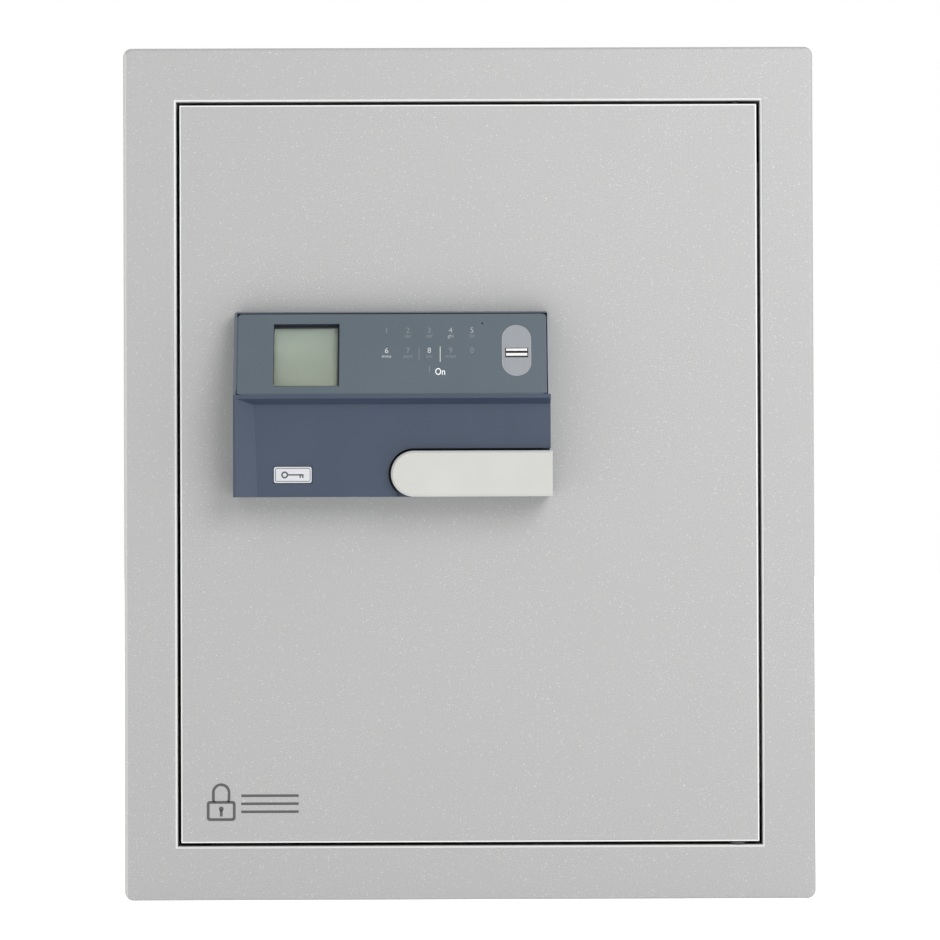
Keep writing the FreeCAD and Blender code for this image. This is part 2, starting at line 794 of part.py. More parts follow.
def make_claw():
    """A fixed bar on the hinge side that stands behind the frame's leg when the door is shut."""
    bar = box("claw", ("pan_width / 2", "pan_width / 2 + claw_reach"),
              ("bolt_y - 8", "bolt_y - 8 + claw_thickness"), ("-claw_height / 2", "claw_height / 2"))
    node(bar, "hinge_side_claw")


def make_bushes():
    """Flanged guides for the bolts in the pan's left wall."""
    bushes = []
    wall_x = "-pan_width / 2"
    inner = "bolt_radius + bush_fit"
    for step in (-1, 0, 1):
        name = f"bush_{step + 2}"
        centre = ("bolt_y", f"{step} * bolt_spacing")
        inside_x = f"{wall_x} + pan_sheet"
        sleeve = rod(f"{name}_sleeve", "x", f"{inner} + bush_wall", (wall_x, f"{wall_x} + bush_length"),
                     centre)
        collar = rod(f"{name}_collar", "x", f"{inner} + bush_wall + 2", (inside_x, f"{inside_x} + 2"),
                     centre)
        bore = rod(f"{name}_bore", "x", inner, (f"{wall_x} - 1", f"{wall_x} + bush_length + 1"), centre)
        bushes.append(cut(name, join(f"{name}_outside", sleeve, collar), bore))
    node(group("bushes", *bushes), "bolt_bushes")


def make_hard_plate():
    """A hardened plate behind the leaf that covers the lock against drilling."""
    body = new_body("hard_plate_body")
    rear_y = "leaf_rear_y + hard_plate_thickness"
    sketch = new_sketch(body, "XZ", away=f"-({rear_y})", across="pivot_x + 12", up="pivot_z")
    centred_rectangle(sketch, "hard_plate_width", "hard_plate_height")
    pad(body, sketch, "hard_plate_thickness")
    holes = new_sketch(body, "XZ", away=f"-({rear_y})")
    circle(holes, "spindle_radius + spindle_bush_wall", "pivot_x", "pivot_z")
    circle(holes, "9", *CABLE_HOLE)
    pocket(body, holes, "2 * hard_plate_thickness", reverse=True)
    node(body, "hard_plate")
    sleeve = ring("spindle_sleeve", "y", "spindle_radius + spindle_bush_wall",
                  "spindle_radius + spindle_fit", ("front_y", f"{rear_y} + 2"), ("pivot_x", "pivot_z"))
    node(sleeve, "spindle_bush")


def make_guide_posts():
    """Shouldered posts on the leaf that the carriage slides along."""
    posts = []
    plate_front = "bolt_y - carriage_plate / 2"
    plate_rear = "bolt_y + carriage_plate / 2"
    for number, level in enumerate(POST_LEVELS, start=1):
        centre = ("post_x", level)
        shoulder = rod(f"post_shoulder_{number}", "y", "post_head_radius",
                       ("leaf_rear_y", f"{plate_front} - post_play"), centre)
        shaft = rod(f"post_shaft_{number}", "y", "post_radius",
                    ("leaf_rear_y", f"{plate_rear} + post_play"), centre)
        head = rod(f"post_head_{number}", "y", "post_head_radius",
                   (f"{plate_rear} + post_play", f"{plate_rear} + post_play + 2.5"), centre)
        posts.append(join(f"post_{number}", shoulder, shaft, head))
    node(group("posts", *posts), "guide_posts")


# ---------------------------------------------------------------------------------------------
# Boltwork: carriage with a rack, bolts, pinion on the handle's spindle, solenoid
# ---------------------------------------------------------------------------------------------

def make_carriage():
    """A plate with a flange for the bolts, slots for the posts and an arm with the rack."""
    body = new_body("bolt_carriage_body")
    rear_y = "bolt_y + carriage_plate / 2"
    plate = new_sketch(body, "XZ", away=f"-({rear_y})")
    right_x = "bolt_end_x + carriage_width"
    outline(plate, [
        ("bolt_end_x", "-carriage_height / 2"), (right_x, "-carriage_height / 2"),
        (right_x, "arm_bottom_z"), ("arm_end_x", "arm_bottom_z"), ("arm_end_x", "rack_top_z"),
        (right_x, "rack_top_z"), (right_x, "carriage_height / 2"),
        ("bolt_end_x", "carriage_height / 2")])
    pad(body, plate, "carriage_plate")
    flange = new_sketch(body, "XZ", away="-(bolt_y + carriage_flange_depth / 2)")
    rectangle(flange, ("bolt_end_x", "carriage_x"), ("-carriage_height / 2", "carriage_height / 2"))
    pad(body, flange, "carriage_flange_depth")
    slots = new_sketch(body, "XZ", away=f"-({rear_y})")
    for level in POST_LEVELS:
        rectangle(slots, ("post_x - post_radius - post_play",
                          "post_x + post_radius + post_play + bolt_travel"),
                  (f"{level} - post_radius - post_play", f"{level} + post_radius + post_play"))
    pocket(body, slots, "2 * carriage_plate", reverse=True)
    notches = new_sketch(body, "XZ", away=f"-({rear_y})")
    for shift in ("0", "bolt_travel"):
        rectangle(notches, (f"plunger_x + {shift} - plunger_radius - 0.6",
                            f"plunger_x + {shift} + plunger_radius + 0.6"),
                  ("plunger_tip_z - plunger_drop - 1", "rack_top_z + 1"))
    pocket(body, notches, "2 * carriage_plate", reverse=True)
    heads = new_sketch(body, "XZ", away=f"-({rear_y})")
    for step in (-1, 0, 1):
        rectangle(heads, ("carriage_x", "carriage_x + 5"),
                  (f"{step} * bolt_spacing - 6", f"{step} * bolt_spacing + 6"))
    pocket(body, heads, "2 * carriage_plate", reverse=True)
    studs = new_sketch(body, "YZ", away="carriage_x")
    for step in (-1, 0, 1):
        circle(studs, "3", "bolt_y", f"{step} * bolt_spacing")
    pocket(body, studs, "carriage_plate + 1")
    cut_rack(body, rear_y)
    node(body, "bolt_carriage")


def cut_rack(body, rear_y):
    """The tooth spaces of the rack: one is cut and repeated at the pitch of the gear."""
    slope = math.tan(math.radians(20))
    half_gap = "pi * gear_module / 4 + gear_backlash / 2"
    top = f"{half_gap} + 0.9 * gear_module * {slope:.5f}"
    foot = f"{half_gap} - 1.25 * gear_module * {slope:.5f}"
    first_x = "pivot_x - pi * gear_module * 2"
    space = new_sketch(body, "XZ", away=f"-({rear_y})", across=first_x)
    outline(space, [(f"-({foot})", "rack_root_z"), (foot, "rack_root_z"), (top, "rack_top_z"),
                    (top, "rack_top_z + 1"), (f"-({top})", "rack_top_z + 1"),
                    (f"-({top})", "rack_top_z")])
    feature = pocket(body, space, "2 * carriage_plate", reverse=True)
    pattern = body.newObject("PartDesign::LinearPattern", "rack_spaces")
    pattern.Originals = [feature]
    pattern.Direction = (space, ["H_Axis"])
    pattern.setExpression("Occurrences", cells("rack_gaps"))
    pattern.setExpression("Length", cells("pi * gear_module * (rack_gaps - 1)"))
    body.Tip = pattern
    doc.recompute()


def make_bolts():
    """Three round bolts, each held to the carriage's flange by a screw."""
    screws = []
    for step, word in ((1, "upper"), (0, "middle"), (-1, "lower")):
        level = f"{step} * bolt_spacing"
        body = new_body(f"{word}_bolt_body")
        sketch = new_sketch(body, "YZ", away="bolt_tip_x")
        pad(body, circle(sketch, "bolt_radius", "bolt_y", level), "bolt_length")
        soften(body, "Chamfer", "1.5", lambda b: near(b.XMax, "bolt_tip_x"))
        tapped = new_sketch(body, "YZ", away="bolt_end_x")
        pocket(body, circle(tapped, "3", "bolt_y", level), "12")
        node(body, f"{word}_bolt")
        centre = ("bolt_y", level)
        shank = rod(f"{word}_bolt_shank", "x", "3", ("bolt_end_x - 12", "carriage_x"), centre)
        head = rod(f"{word}_bolt_head", "x", "5", ("carriage_x", "carriage_x + 4"), centre)
        screws.append(join(f"{word}_bolt_screw", shank, head))
    node(group("bolt_screw_set", *screws), "bolt_screws")


def pinion_shape():
    """A spur gear about Y: involute flanks with some play, by formula."""
    module = value("gear_module")
    teeth = int(value("gear_teeth"))
    pitch_radius = value("gear_radius")
    base_radius = pitch_radius * math.cos(math.radians(20))

    def involute(radius):
        """The involute's turn at a radius."""
        angle = math.acos(min(1, base_radius / radius))
        return math.tan(angle) - angle

    pitch_half = (math.pi * module / 2 - value("gear_backlash")) / 2 / pitch_radius
    flank = [(pitch_radius - 1.25 * module, base_radius)]
    flank += [(radius, radius) for radius in (base_radius, pitch_radius, pitch_radius + module)]
    points = []
    for tooth in range(teeth):
        middle = -math.pi / 2 + tooth * 2 * math.pi / teeth
        halves = [(radius, pitch_half + involute(pitch_radius) - involute(at)) for radius, at in flank]
        for side, run in ((-1, halves), (1, reversed(halves))):
            for radius, half in run:
                angle = middle + side * half
                points.append(Vector(radius * math.cos(angle), 0, radius * math.sin(angle)))
    face = Part.Face(Part.makePolygon(points + points[:1]))
    thickness = value("gear_thickness")
    bore = Part.makeCylinder(value("spindle_radius"), thickness, Vector(), Vector(0, 1, 0))
    return face.extrude(Vector(0, thickness, 0)).cut(bore)


def make_handle():
    """Lever, spindle, pinion and the clip that holds the pinion."""
    body = new_body("handle_lever_body")
    radius = "handle_radius"
    rear = "-(front_y - handle_rear_proud)"
    sketch = new_sketch(body, "XZ", away=rear, across="pivot_x", up="pivot_z")
    end_x = "handle_end_x - pivot_x"
    outline(sketch, [("0", f"-{radius}", (f"-{radius}", "0"), ("0", "0")), (end_x, f"-{radius}"),
                     (end_x, radius), ("0", radius)])
    pad(body, sketch, "handle_proud - handle_rear_proud")
    soften(body, "Chamfer", "handle_edge", lambda b: near(b.YMax, "front_y - handle_proud"))
    hollow_sketch = new_sketch(body, "XZ", away="-(front_y - handle_rear_proud)")
    inset = "handle_radius - handle_wall"
    rectangle(hollow_sketch, ("pivot_x + handle_hub_radius + 4", "handle_end_x - handle_wall"),
              (f"-({inset})", inset))
    pocket(body, hollow_sketch, "handle_proud - handle_rear_proud - handle_wall", reverse=True)
    socket = new_sketch(body, "XZ", away=rear, across="pivot_x", up="pivot_z")
    pocket(body, circle(socket, "spindle_radius"), "12", reverse=True)
    node(body, "handle_lever")

    spindle = new_body("handle_spindle_body")
    core = new_sketch(spindle, "XZ", away="-spindle_rear_y", across="pivot_x", up="pivot_z")
    pad(spindle, circle(core, "spindle_radius"), "spindle_rear_y - front_y + handle_rear_proud + 12")
    groove_y = "gear_y + gear_thickness / 2"
    groove = new_sketch(spindle, "XZ", away=f"-({groove_y} + 1.2)", across="pivot_x", up="pivot_z")
    circle(groove, "spindle_radius + 1")
    circle(groove, "spindle_radius - 0.7")
    pocket(spindle, groove, "1.2", reverse=True)
    node(spindle, "handle_spindle")

    pinion = doc.addObject("Part::Feature", "pinion")
    pinion.Shape = pinion_shape()
    pinion.Placement = Placement(Vector(value("pivot_x"), value("gear_y - gear_thickness / 2"),
                                        value("pivot_z")), Rotation())
    node(pinion, "drive_pinion")
    clip = ring("clip", "y", "spindle_radius + 3", "spindle_radius - 0.7",
                (groove_y, f"{groove_y} + 1.2"), ("pivot_x", "pivot_z"))
    mouth = box("clip_mouth", ("pivot_x - 2", "pivot_x + 2"), (f"{groove_y} - 1", f"{groove_y} + 2"),
                ("pivot_z", "pivot_z + spindle_radius + 4"))
    node(cut("clip_open", clip, mouth), "spindle_clip")


def spring_shape():
    """A coil about Z that stands on the plunger's collar and ends under the solenoid."""
    wire_radius = value("spring_wire_radius")
    rise = -value("plunger_tip_z + collar_rise + collar_thickness") - 2 * wire_radius - 0.1
    helix = Part.makeLongHelix(rise / 3, rise, 5.2)
    section = Part.Wire(Part.makeCircle(wire_radius, Vector(5.2, 0, 0), Vector(0, 1, 0)))
    return Part.Wire(helix.Edges).makePipeShell([section], True, True)


def make_solenoid():
    """The coil body on its bracket, the plunger that drops into the carriage and its spring."""
    rear_y = "bolt_y + solenoid_depth / 2"
    front = "bolt_y - solenoid_depth / 2"
    sides = ("plunger_x - solenoid_width / 2", "plunger_x + solenoid_width / 2")
    centre = ("plunger_x", "bolt_y")
    case = box("solenoid_case", sides, (front, rear_y), ("0", "solenoid_height"))
    bore = rod("solenoid_bore", "z", "plunger_radius + solenoid_fit", ("-1", "solenoid_height * 0.7"),
               centre)
    node(cut("solenoid_bored", case, bore), "solenoid_body")
    bracket_back = box("bracket_back", sides, ("leaf_rear_y", front),
                       ("solenoid_height - 12", "solenoid_height + 12"))
    node(bracket_back, "solenoid_bracket")
    stem = rod("plunger_stem", "z", "plunger_radius", ("plunger_tip_z", "14"), centre)
    collar_z = "plunger_tip_z + collar_rise"
    collar = rod("plunger_collar", "z", "plunger_radius + 2.4",
                 (collar_z, f"{collar_z} + collar_thickness"), centre)
    node(join("plunger", stem, collar), "solenoid_plunger")
    spring = doc.addObject("Part::Feature", "spring")
    spring.Shape = spring_shape()
    foot_z = value("plunger_tip_z + collar_rise + collar_thickness + spring_wire_radius")
    spring.Placement = Placement(Vector(value("plunger_x"), value("bolt_y"), foot_z), Rotation())
    node(spring, "plunger_spring")


# ---------------------------------------------------------------------------------------------
# Lock housing and what it holds
# ---------------------------------------------------------------------------------------------

def slope_y(rise, inset="0"):
    """Y on the panel's slope, or on a line set in from it, at a rise over the ledge."""
    return f"front_y - ledge_proud + ({inset}) / cos(panel_slope) + ({rise}) * tan(panel_slope)"


def outer_profile(sketch):
    """The housing seen from the side: a sloping panel face over the ledge. (y, z) points."""
    outline(sketch, [
        ("front_y", "housing_bottom_z"), (slope_y("0"), "housing_bottom_z"),
        (slope_y("0"), "ledge_top_z"), (slope_y("housing_top_z - ledge_top_z"), "housing_top_z"),
        ("front_y", "housing_top_z")])
    return sketch


def inner_profile(sketch):
    """The cavity behind the panel, seen from the side."""
    inset = "panel_thickness + housing_wall"
    floor_y = "front_y - scoop_proud + housing_wall + badge_recess"
    top_z = "housing_top_z - housing_wall"
    outline(sketch, [
        ("front_y + 1", "scoop_top_z"), (floor_y, "scoop_top_z"), (floor_y, "scoop_top_z + 2"),
        (slope_y("2", inset), "ledge_top_z + 2"), (slope_y(f"{top_z} - ledge_top_z", inset), top_z),
        ("front_y + 1", top_z)])
    return sketch


def tilted_sketch(body, inward="0", across="0", up="0"):
    """A sketch on the panel's face, moved inward along its normal; across and up are on its slope."""
    return new_sketch(
        body, "XZ", slope="panel_slope", across=f"housing_x + {across}",
        up=f"panel_z + ({up}) * cos(panel_slope) - ({inward}) * sin(panel_slope)",
        away=f"-panel_y - ({up}) * sin(panel_slope) - ({inward}) * cos(panel_slope)")


def make_housing():
    """The plastic body: ledge, scoop with its left border, notch and floor for the handle."""
    body = new_body("lock_housing_body")
    pad(body, outer_profile(new_sketch(body, "YZ", away="housing_left_x")), "housing_width")
    soften(body, "Fillet", "1.6", lambda b: b.XLength < 0.01 and near(b.ZMax, "housing_top_z")
           and near(b.ZMin, "housing_top_z"))
    cut_scoop(body)
    notch = new_sketch(body, "XZ", away="-(front_y - ledge_proud - 1)")
    radius = "notch_radius"
    tip_run = "notch_tip_x - pivot_x"
    tip_rise = f"sqrt(({radius}) ^ 2 - ({tip_run}) ^ 2)"
    outline(notch, [
        ("pivot_x", f"pivot_z + {radius}"),
        ("notch_tip_x", f"pivot_z - {tip_rise}", (f"pivot_x - {radius}", "pivot_z"),
         ("pivot_x", "pivot_z")),
        ("notch_tip_x", "housing_bottom_z - 2"), ("housing_right_x + 2", "housing_bottom_z - 2"),
        ("housing_right_x + 2", f"pivot_z + {radius}")])
    pocket(body, notch, "ledge_proud + 1 - notch_floor_proud")
    hollow_housing(body)
    panel_seat(body)
    badge = new_sketch(body, "XZ", away="-(front_y - scoop_proud)", across="badge_x", up="badge_z")
    centred_rectangle(badge, "badge_width + 2 * badge_gap", "badge_height + 2 * badge_gap")
    pocket(body, badge, "badge_recess")
    node(body, "lock_housing")


def cut_scoop(body):
    """A hollow that tapers inward from the left border and from under the ledge."""
    step = "(ledge_proud - scoop_proud)"
    border_x = "housing_left_x + border_face"
    lip_z = "ledge_top_z - ledge_lip"
    sections = []
    for proud, reach in (("scoop_proud", "0"), ("ledge_proud + 1", f"({step} + 1) / {step}")):
        sketch = new_sketch(body, "XZ", away=f"-(front_y - ({proud}))")
        top_x = f"scoop_left_top_x + ({border_x} - scoop_left_top_x) * {reach}"
        foot_x = f"scoop_left_bottom_x + ({border_x} - scoop_left_bottom_x) * {reach}"
        top_z = f"scoop_top_z + ({lip_z} - scoop_top_z) * {reach}"
        outline(sketch, [
            (foot_x, "housing_bottom_z - 4"), ("housing_right_x + 3", "housing_bottom_z - 4"),
            ("housing_right_x + 3", top_z), (top_x, top_z)])
        sections.append(sketch)
    doc.recompute()
    before = body.Shape.Volume
    loft = body.newObject("PartDesign::SubtractiveLoft", "scoop")
    loft.Profile = sections[0]
    loft.Sections = [sections[1]]
    loft.Ruled = True
    doc.recompute()
    must_shrink(body, before, loft)


def hollow_housing(body):
    """The cavity behind the panel, behind the scoop and behind the notch's floor."""
    wall = "housing_wall"
    upper = new_sketch(body, "YZ", away="housing_left_x + housing_wall")
    pocket(body, inner_profile(upper), "housing_width - 2 * housing_wall", reverse=True)
    lower = new_sketch(body, "XZ", away="-front_y")
    notch_out = "(notch_radius + housing_wall)"
    outline(lower, [
        (f"housing_left_x + {wall}", f"housing_bottom_z + {wall}"),
        (f"pivot_x - {notch_out} - 3", f"housing_bottom_z + {wall}"),
        (f"pivot_x - {notch_out} - 3", "pivot_z + notch_radius / 2"),
        (f"pivot_x - {notch_out} / 2", f"pivot_z + {notch_out} + 1"),
        (f"housing_right_x - {wall}", f"pivot_z + {notch_out} + 1"),
        (f"housing_right_x - {wall}", "scoop_top_z"),
        (f"housing_left_x + {wall}", "scoop_top_z")])
    pocket(body, lower, "scoop_proud - housing_wall - badge_recess", reverse=True)
    floor = new_sketch(body, "XZ", away="-front_y")
    rectangle(floor, ("pivot_x + 14", f"housing_right_x - {wall}"),
              (f"housing_bottom_z + {wall}", "pivot_z + notch_radius"))
    pocket(body, floor, "notch_floor_proud - housing_wall", reverse=True)
    bore = new_sketch(body, "XZ", away="-front_y", across="pivot_x", up="pivot_z")
    pocket(body, circle(bore, "spindle_radius + 0.4"), "notch_floor_proud + 1", reverse=True)


def panel_seat(body):
    """The recess that takes the control panel, and the window behind it."""
    seat = tilted_sketch(body, "-1")
    centred_rectangle(seat, "panel_width + 2 * panel_gap", "panel_height + 2 * panel_gap")
    pocket(body, seat, "panel_thickness + 1")
    opening = tilted_sketch(body, "-1")
    centred_rectangle(opening, "panel_width - 2 * panel_ledge", "panel_height - 2 * panel_ledge")
    pocket(body, opening, "panel_thickness + 2 * housing_wall + 1")


def panel_piece(name):
    """A body in the panel's own frame: its face at y = 0, leaned back by the panel's slope."""
    body = new_body(f"{name}_body")
    body.Placement = Placement(Vector(), Rotation(Vector(1, 0, 0), -1))
    body.setExpression(".Placement.Rotation.Angle", cells("-panel_slope"))
    move_to(body, "housing_x", "panel_y", "panel_z")
    return body


def panel_hole(body, across, up, width, height, depth, away="1"):
    """A rectangular hole into a piece in the panel's frame."""
    sketch = new_sketch(body, "XZ", away=away, across=across, up=up)
    pocket(body, centred_rectangle(sketch, width, height), depth)


def make_panel():
    """The printed panel, with a collar round the display and a hole for the fingerprint reader."""
    body = panel_piece("control_panel")
    collar = new_sketch(body, "XZ", away="-lcd_recess", across="window_x", up="window_up")
    centred_rectangle(collar, "window_width + 2 * window_collar", "window_height + 2 * window_collar")
    pad(body, collar, "lcd_recess - panel_thickness / 2")
    sketch = new_sketch(body, "XZ", away="-panel_thickness")
    centred_rectangle(sketch, "panel_width", "panel_height")
    pad(body, sketch, "panel_thickness")
    soften(body, "Fillet", "2.5", lambda b: b.XLength < 0.01 and b.ZLength < 0.01 and b.ZMin > 0)
    soften(body, "Fillet", "0.4", lambda b: near(b.YMax, "0") and b.YLength < 0.01)
    panel_hole(body, "window_x", "window_up", "window_width", "window_height", "lcd_recess + 2")
    sketch = new_sketch(body, "XZ", away="1", across="finger_x", up="finger_up")
    pocket(body, stadium(sketch, "finger_height", "finger_width / 2"), "5")
    sketch = new_sketch(body, "XZ", away="1")
    pocket(body, circle(sketch, "0.5", "housing_width / 2 - 38.6", "panel_height / 2 - 6.1"), "5")
    node(body, "control_panel")


def make_display():
    """A clear window, set back in the panel's collar, and the display module behind it."""
    window = panel_piece("display_window")
    sketch = new_sketch(window, "XZ", away="-(window_recess + window_thickness)", across="window_x",
                        up="window_up")
    pad(window, centred_rectangle(sketch, "window_width", "window_height"), "window_thickness")
    node(window, "display_window")
    module = panel_piece("display_module")
    sketch = new_sketch(module, "XZ", away="-(lcd_recess + lcd_thickness)", across="window_x",
                        up="window_up")
    pad(module, centred_rectangle(sketch, "window_width + 4", "window_height + 1"), "lcd_thickness")
    node(module, "display_module")


def make_fingerprint_reader():
    """A stadium-shaped plate with the swipe sensor in its middle."""
    plate = panel_piece("fingerprint_plate")
    sketch = new_sketch(plate, "XZ", away="-(finger_plate_recess + finger_plate_thickness)",
                        across="finger_x", up="finger_up")
    pad(plate, stadium(sketch, "finger_height", "finger_width / 2"), "finger_plate_thickness")
    panel_hole(plate, "finger_x", "finger_up + sensor_up", "sensor_width", "sensor_height", "5")
    node(plate, "fingerprint_plate")
    sensor = panel_piece("fingerprint_sensor")
    sketch = new_sketch(sensor, "XZ", away="-(finger_plate_recess + sensor_depth + 0.3)",
                        across="finger_x", up="finger_up + sensor_up")
    pad(sensor, centred_rectangle(sketch, "sensor_width", "sensor_height"), "sensor_depth")
    node(sensor, "fingerprint_sensor")


def make_electronics():
    """The circuit board behind the panel and the buzzer on its back."""
    board = panel_piece("circuit_board")
    sketch = new_sketch(board, "XZ", away="-(board_depth + board_thickness)", up="3")
    centred_rectangle(sketch, "housing_width - 16", "panel_height - 14")
    pad(board, sketch, "board_thickness")
    node(board, "circuit_board")
    buzzer = panel_piece("buzzer")
    sketch = new_sketch(buzzer, "XZ", away="-board_depth", across="housing_width / 2 - 38.6",
                        up="panel_height / 2 - 6.1")
    pad(buzzer, circle(sketch, "buzzer_radius"), "buzzer_height")
    node(buzzer, "buzzer")


def make_housing_screws():
    """Screws from inside the door into bosses of the housing."""
    screws = []
    for number, place in enumerate(HOUSING_SCREWS, start=1):
        shank = rod(f"housing_shank_{number}", "y", "2", ("front_y", "leaf_rear_y"), place)
        head = rod(f"housing_head_{number}", "y", "4", ("leaf_rear_y", "leaf_rear_y + 2.5"), place)
        screws.append(join(f"housing_screw_{number}", shank, head))
    node(group("housing_screw_set", *screws), "housing_screws")


def make_badge():
    """A blank plate in a shallow recess of the scoop."""
    body = new_body("badge_plate_body")
    sketch = new_sketch(body, "XZ", away="-(front_y - scoop_proud + badge_recess)", across="badge_x",
                        up="badge_z")
    pad(body, centred_rectangle(sketch, "badge_width", "badge_height"), "badge_thickness")
    soften(body, "Fillet", "1.2", lambda b: b.XLength < 0.01 and b.ZLength < 0.01)
    node(body, "badge_plate")


# ---------------------------------------------------------------------------------------------
# Battery compartment on the inside of the door
# ---------------------------------------------------------------------------------------------

def make_batteries():
    """A tray in the cover's opening with its cells, and a sliding cover between two rails."""
    body = new_body("battery_box_body")
    front = "pan_rear_y - 2 * cell_radius - battery_wall - 1"
    sketch = new_sketch(body, "XZ", away="-pan_rear_y", across="battery_x", up="battery_z")
    centred_rectangle(sketch, "battery_width + 2 * battery_wall", "battery_height + 2 * battery_wall")
    pad(body, sketch, f"pan_rear_y - ({front})")
    sketch = new_sketch(body, "XZ", away="-pan_rear_y", across="battery_x", up="battery_z")
    centred_rectangle(sketch, "battery_width", "battery_height")
    pocket(body, sketch, f"pan_rear_y - ({front}) - battery_wall", reverse=True)
    node(body, "battery_box")
    batteries = []
    for number in range(int(value("cell_count"))):
        x = f"battery_x + (2 * cell_radius + 0.4) * ({number} - (cell_count - 1) / 2)"
        centre = (x, "pan_rear_y - cell_radius - 0.4")
        shell = rod(f"cell_case_{number}", "z", "cell_radius",
                    ("battery_z - cell_length / 2", "battery_z + cell_length / 2 - 1.2"), centre)
        tip = rod(f"cell_tip_{number}", "z", "2.6",
                  ("battery_z - cell_length / 2", "battery_z + cell_length / 2"), centre)
        batteries.append(join(f"cell_{number}", shell, tip))
    node(group("cells", *batteries), "batteries")
    cover_y = ("cover_rear_y + battery_cover_gap",
               "cover_rear_y + battery_cover_gap + battery_cover_thickness")
    half_width = "(battery_width / 2 + 4)"
    half_height = "(battery_height / 2 + 4)"
    plate = box("battery_plate", (f"battery_x - {half_width}", f"battery_x + {half_width}"), cover_y,
                (f"battery_z - {half_height}", f"battery_z + {half_height}"))
    grip = box("battery_grip", ("battery_x - 12", "battery_x + 12"), (cover_y[1], f"{cover_y[1]} + 1.5"),
               (f"battery_z + {half_height} - 8", f"battery_z + {half_height} - 5"))
    node(join("battery_lid", plate, grip), "battery_cover")
    rails = []
    for side in (1, -1):
        near_x = f"battery_x + {side} * ({half_width} + 0.3)"
        far_x = f"battery_x + {side} * ({half_width} + 3)"
        lip_x = f"battery_x + {side} * ({half_width} - 2)"
        tall = (f"battery_z - {half_height} - battery_height - 4", f"battery_z + {half_height}")
        foot = (near_x, far_x) if side > 0 else (far_x, near_x)
        lip = (lip_x, far_x) if side > 0 else (far_x, lip_x)
        web = box(f"rail_web_{side + 2}", foot, ("cover_rear_y", f"{cover_y[1]} + 0.3"), tall)
        top = box(f"rail_lip_{side + 2}", lip, (f"{cover_y[1]} + 0.3", f"{cover_y[1]} + 1.5"), tall)
        rails.append(join(f"rail_{side + 2}", web, top))
    node(group("rails", *rails), "battery_cover_rails")


# ---------------------------------------------------------------------------------------------
# Build, test and write
# ---------------------------------------------------------------------------------------------

for make in (make_front_frame, make_shell, make_liner, make_anchor_sleeves, make_bolt_keeper,
             make_wall_ties, make_hinge, make_door_stops, make_shelf, make_mat, make_leaf, make_pan,
             make_inner_cover, make_claw, make_bushes, make_hard_plate, make_guide_posts,
             make_carriage, make_bolts, make_handle, make_solenoid, make_housing, make_panel,
             make_display, make_fingerprint_reader, make_electronics, make_housing_screws, make_badge,
             make_batteries):
    make()
doc.recompute()

broken = [o.Name for o in doc.Objects if {"Invalid", "Error"} & set(o.State)]
if broken:
    raise RuntimeError(f"objects failed: {broken}")
for name, piece in NODES.items():
    if piece.Shape.isNull() or not piece.Shape.isValid():
        raise RuntimeError(f"{name} has no valid shape")
for name, piece in NODES.items():
    piece.Shape.exportStep(f"parts/{name}.step")
print(f"{len(NODES)} nodes written")
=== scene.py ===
"""The looks of a wall safe with a fingerprint lock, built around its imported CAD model."""

import json
import math

import bmesh
import bpy
from mathutils import Matrix, Vector

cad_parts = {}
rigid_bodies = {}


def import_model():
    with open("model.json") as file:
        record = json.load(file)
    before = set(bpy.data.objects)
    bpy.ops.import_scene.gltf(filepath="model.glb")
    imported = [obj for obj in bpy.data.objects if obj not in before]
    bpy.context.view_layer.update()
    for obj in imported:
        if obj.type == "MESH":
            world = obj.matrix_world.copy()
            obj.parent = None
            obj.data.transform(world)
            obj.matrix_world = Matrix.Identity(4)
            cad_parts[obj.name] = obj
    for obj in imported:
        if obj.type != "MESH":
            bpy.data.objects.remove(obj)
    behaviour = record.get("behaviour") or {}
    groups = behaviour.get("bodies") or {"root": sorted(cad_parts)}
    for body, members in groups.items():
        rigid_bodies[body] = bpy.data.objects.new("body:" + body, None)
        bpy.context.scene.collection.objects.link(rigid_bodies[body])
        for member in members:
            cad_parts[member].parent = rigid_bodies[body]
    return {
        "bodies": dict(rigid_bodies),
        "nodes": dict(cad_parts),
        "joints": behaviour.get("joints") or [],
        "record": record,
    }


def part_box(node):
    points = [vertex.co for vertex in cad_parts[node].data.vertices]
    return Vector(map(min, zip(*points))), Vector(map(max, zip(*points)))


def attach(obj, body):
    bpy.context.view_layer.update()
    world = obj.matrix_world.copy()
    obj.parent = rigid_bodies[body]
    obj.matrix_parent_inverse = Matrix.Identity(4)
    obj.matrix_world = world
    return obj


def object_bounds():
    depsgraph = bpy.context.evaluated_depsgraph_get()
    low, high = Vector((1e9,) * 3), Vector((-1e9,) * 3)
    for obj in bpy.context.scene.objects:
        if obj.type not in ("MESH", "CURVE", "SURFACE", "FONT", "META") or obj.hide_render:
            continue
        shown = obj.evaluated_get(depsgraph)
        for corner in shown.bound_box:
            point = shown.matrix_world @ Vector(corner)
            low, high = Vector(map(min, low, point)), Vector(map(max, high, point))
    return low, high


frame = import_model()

CAD_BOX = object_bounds()
NODES = frame["nodes"]
MM = 0.001
scene = bpy.context.scene

# ---------------------------------------------------------------------------------------------
# Node trees
# ---------------------------------------------------------------------------------------------


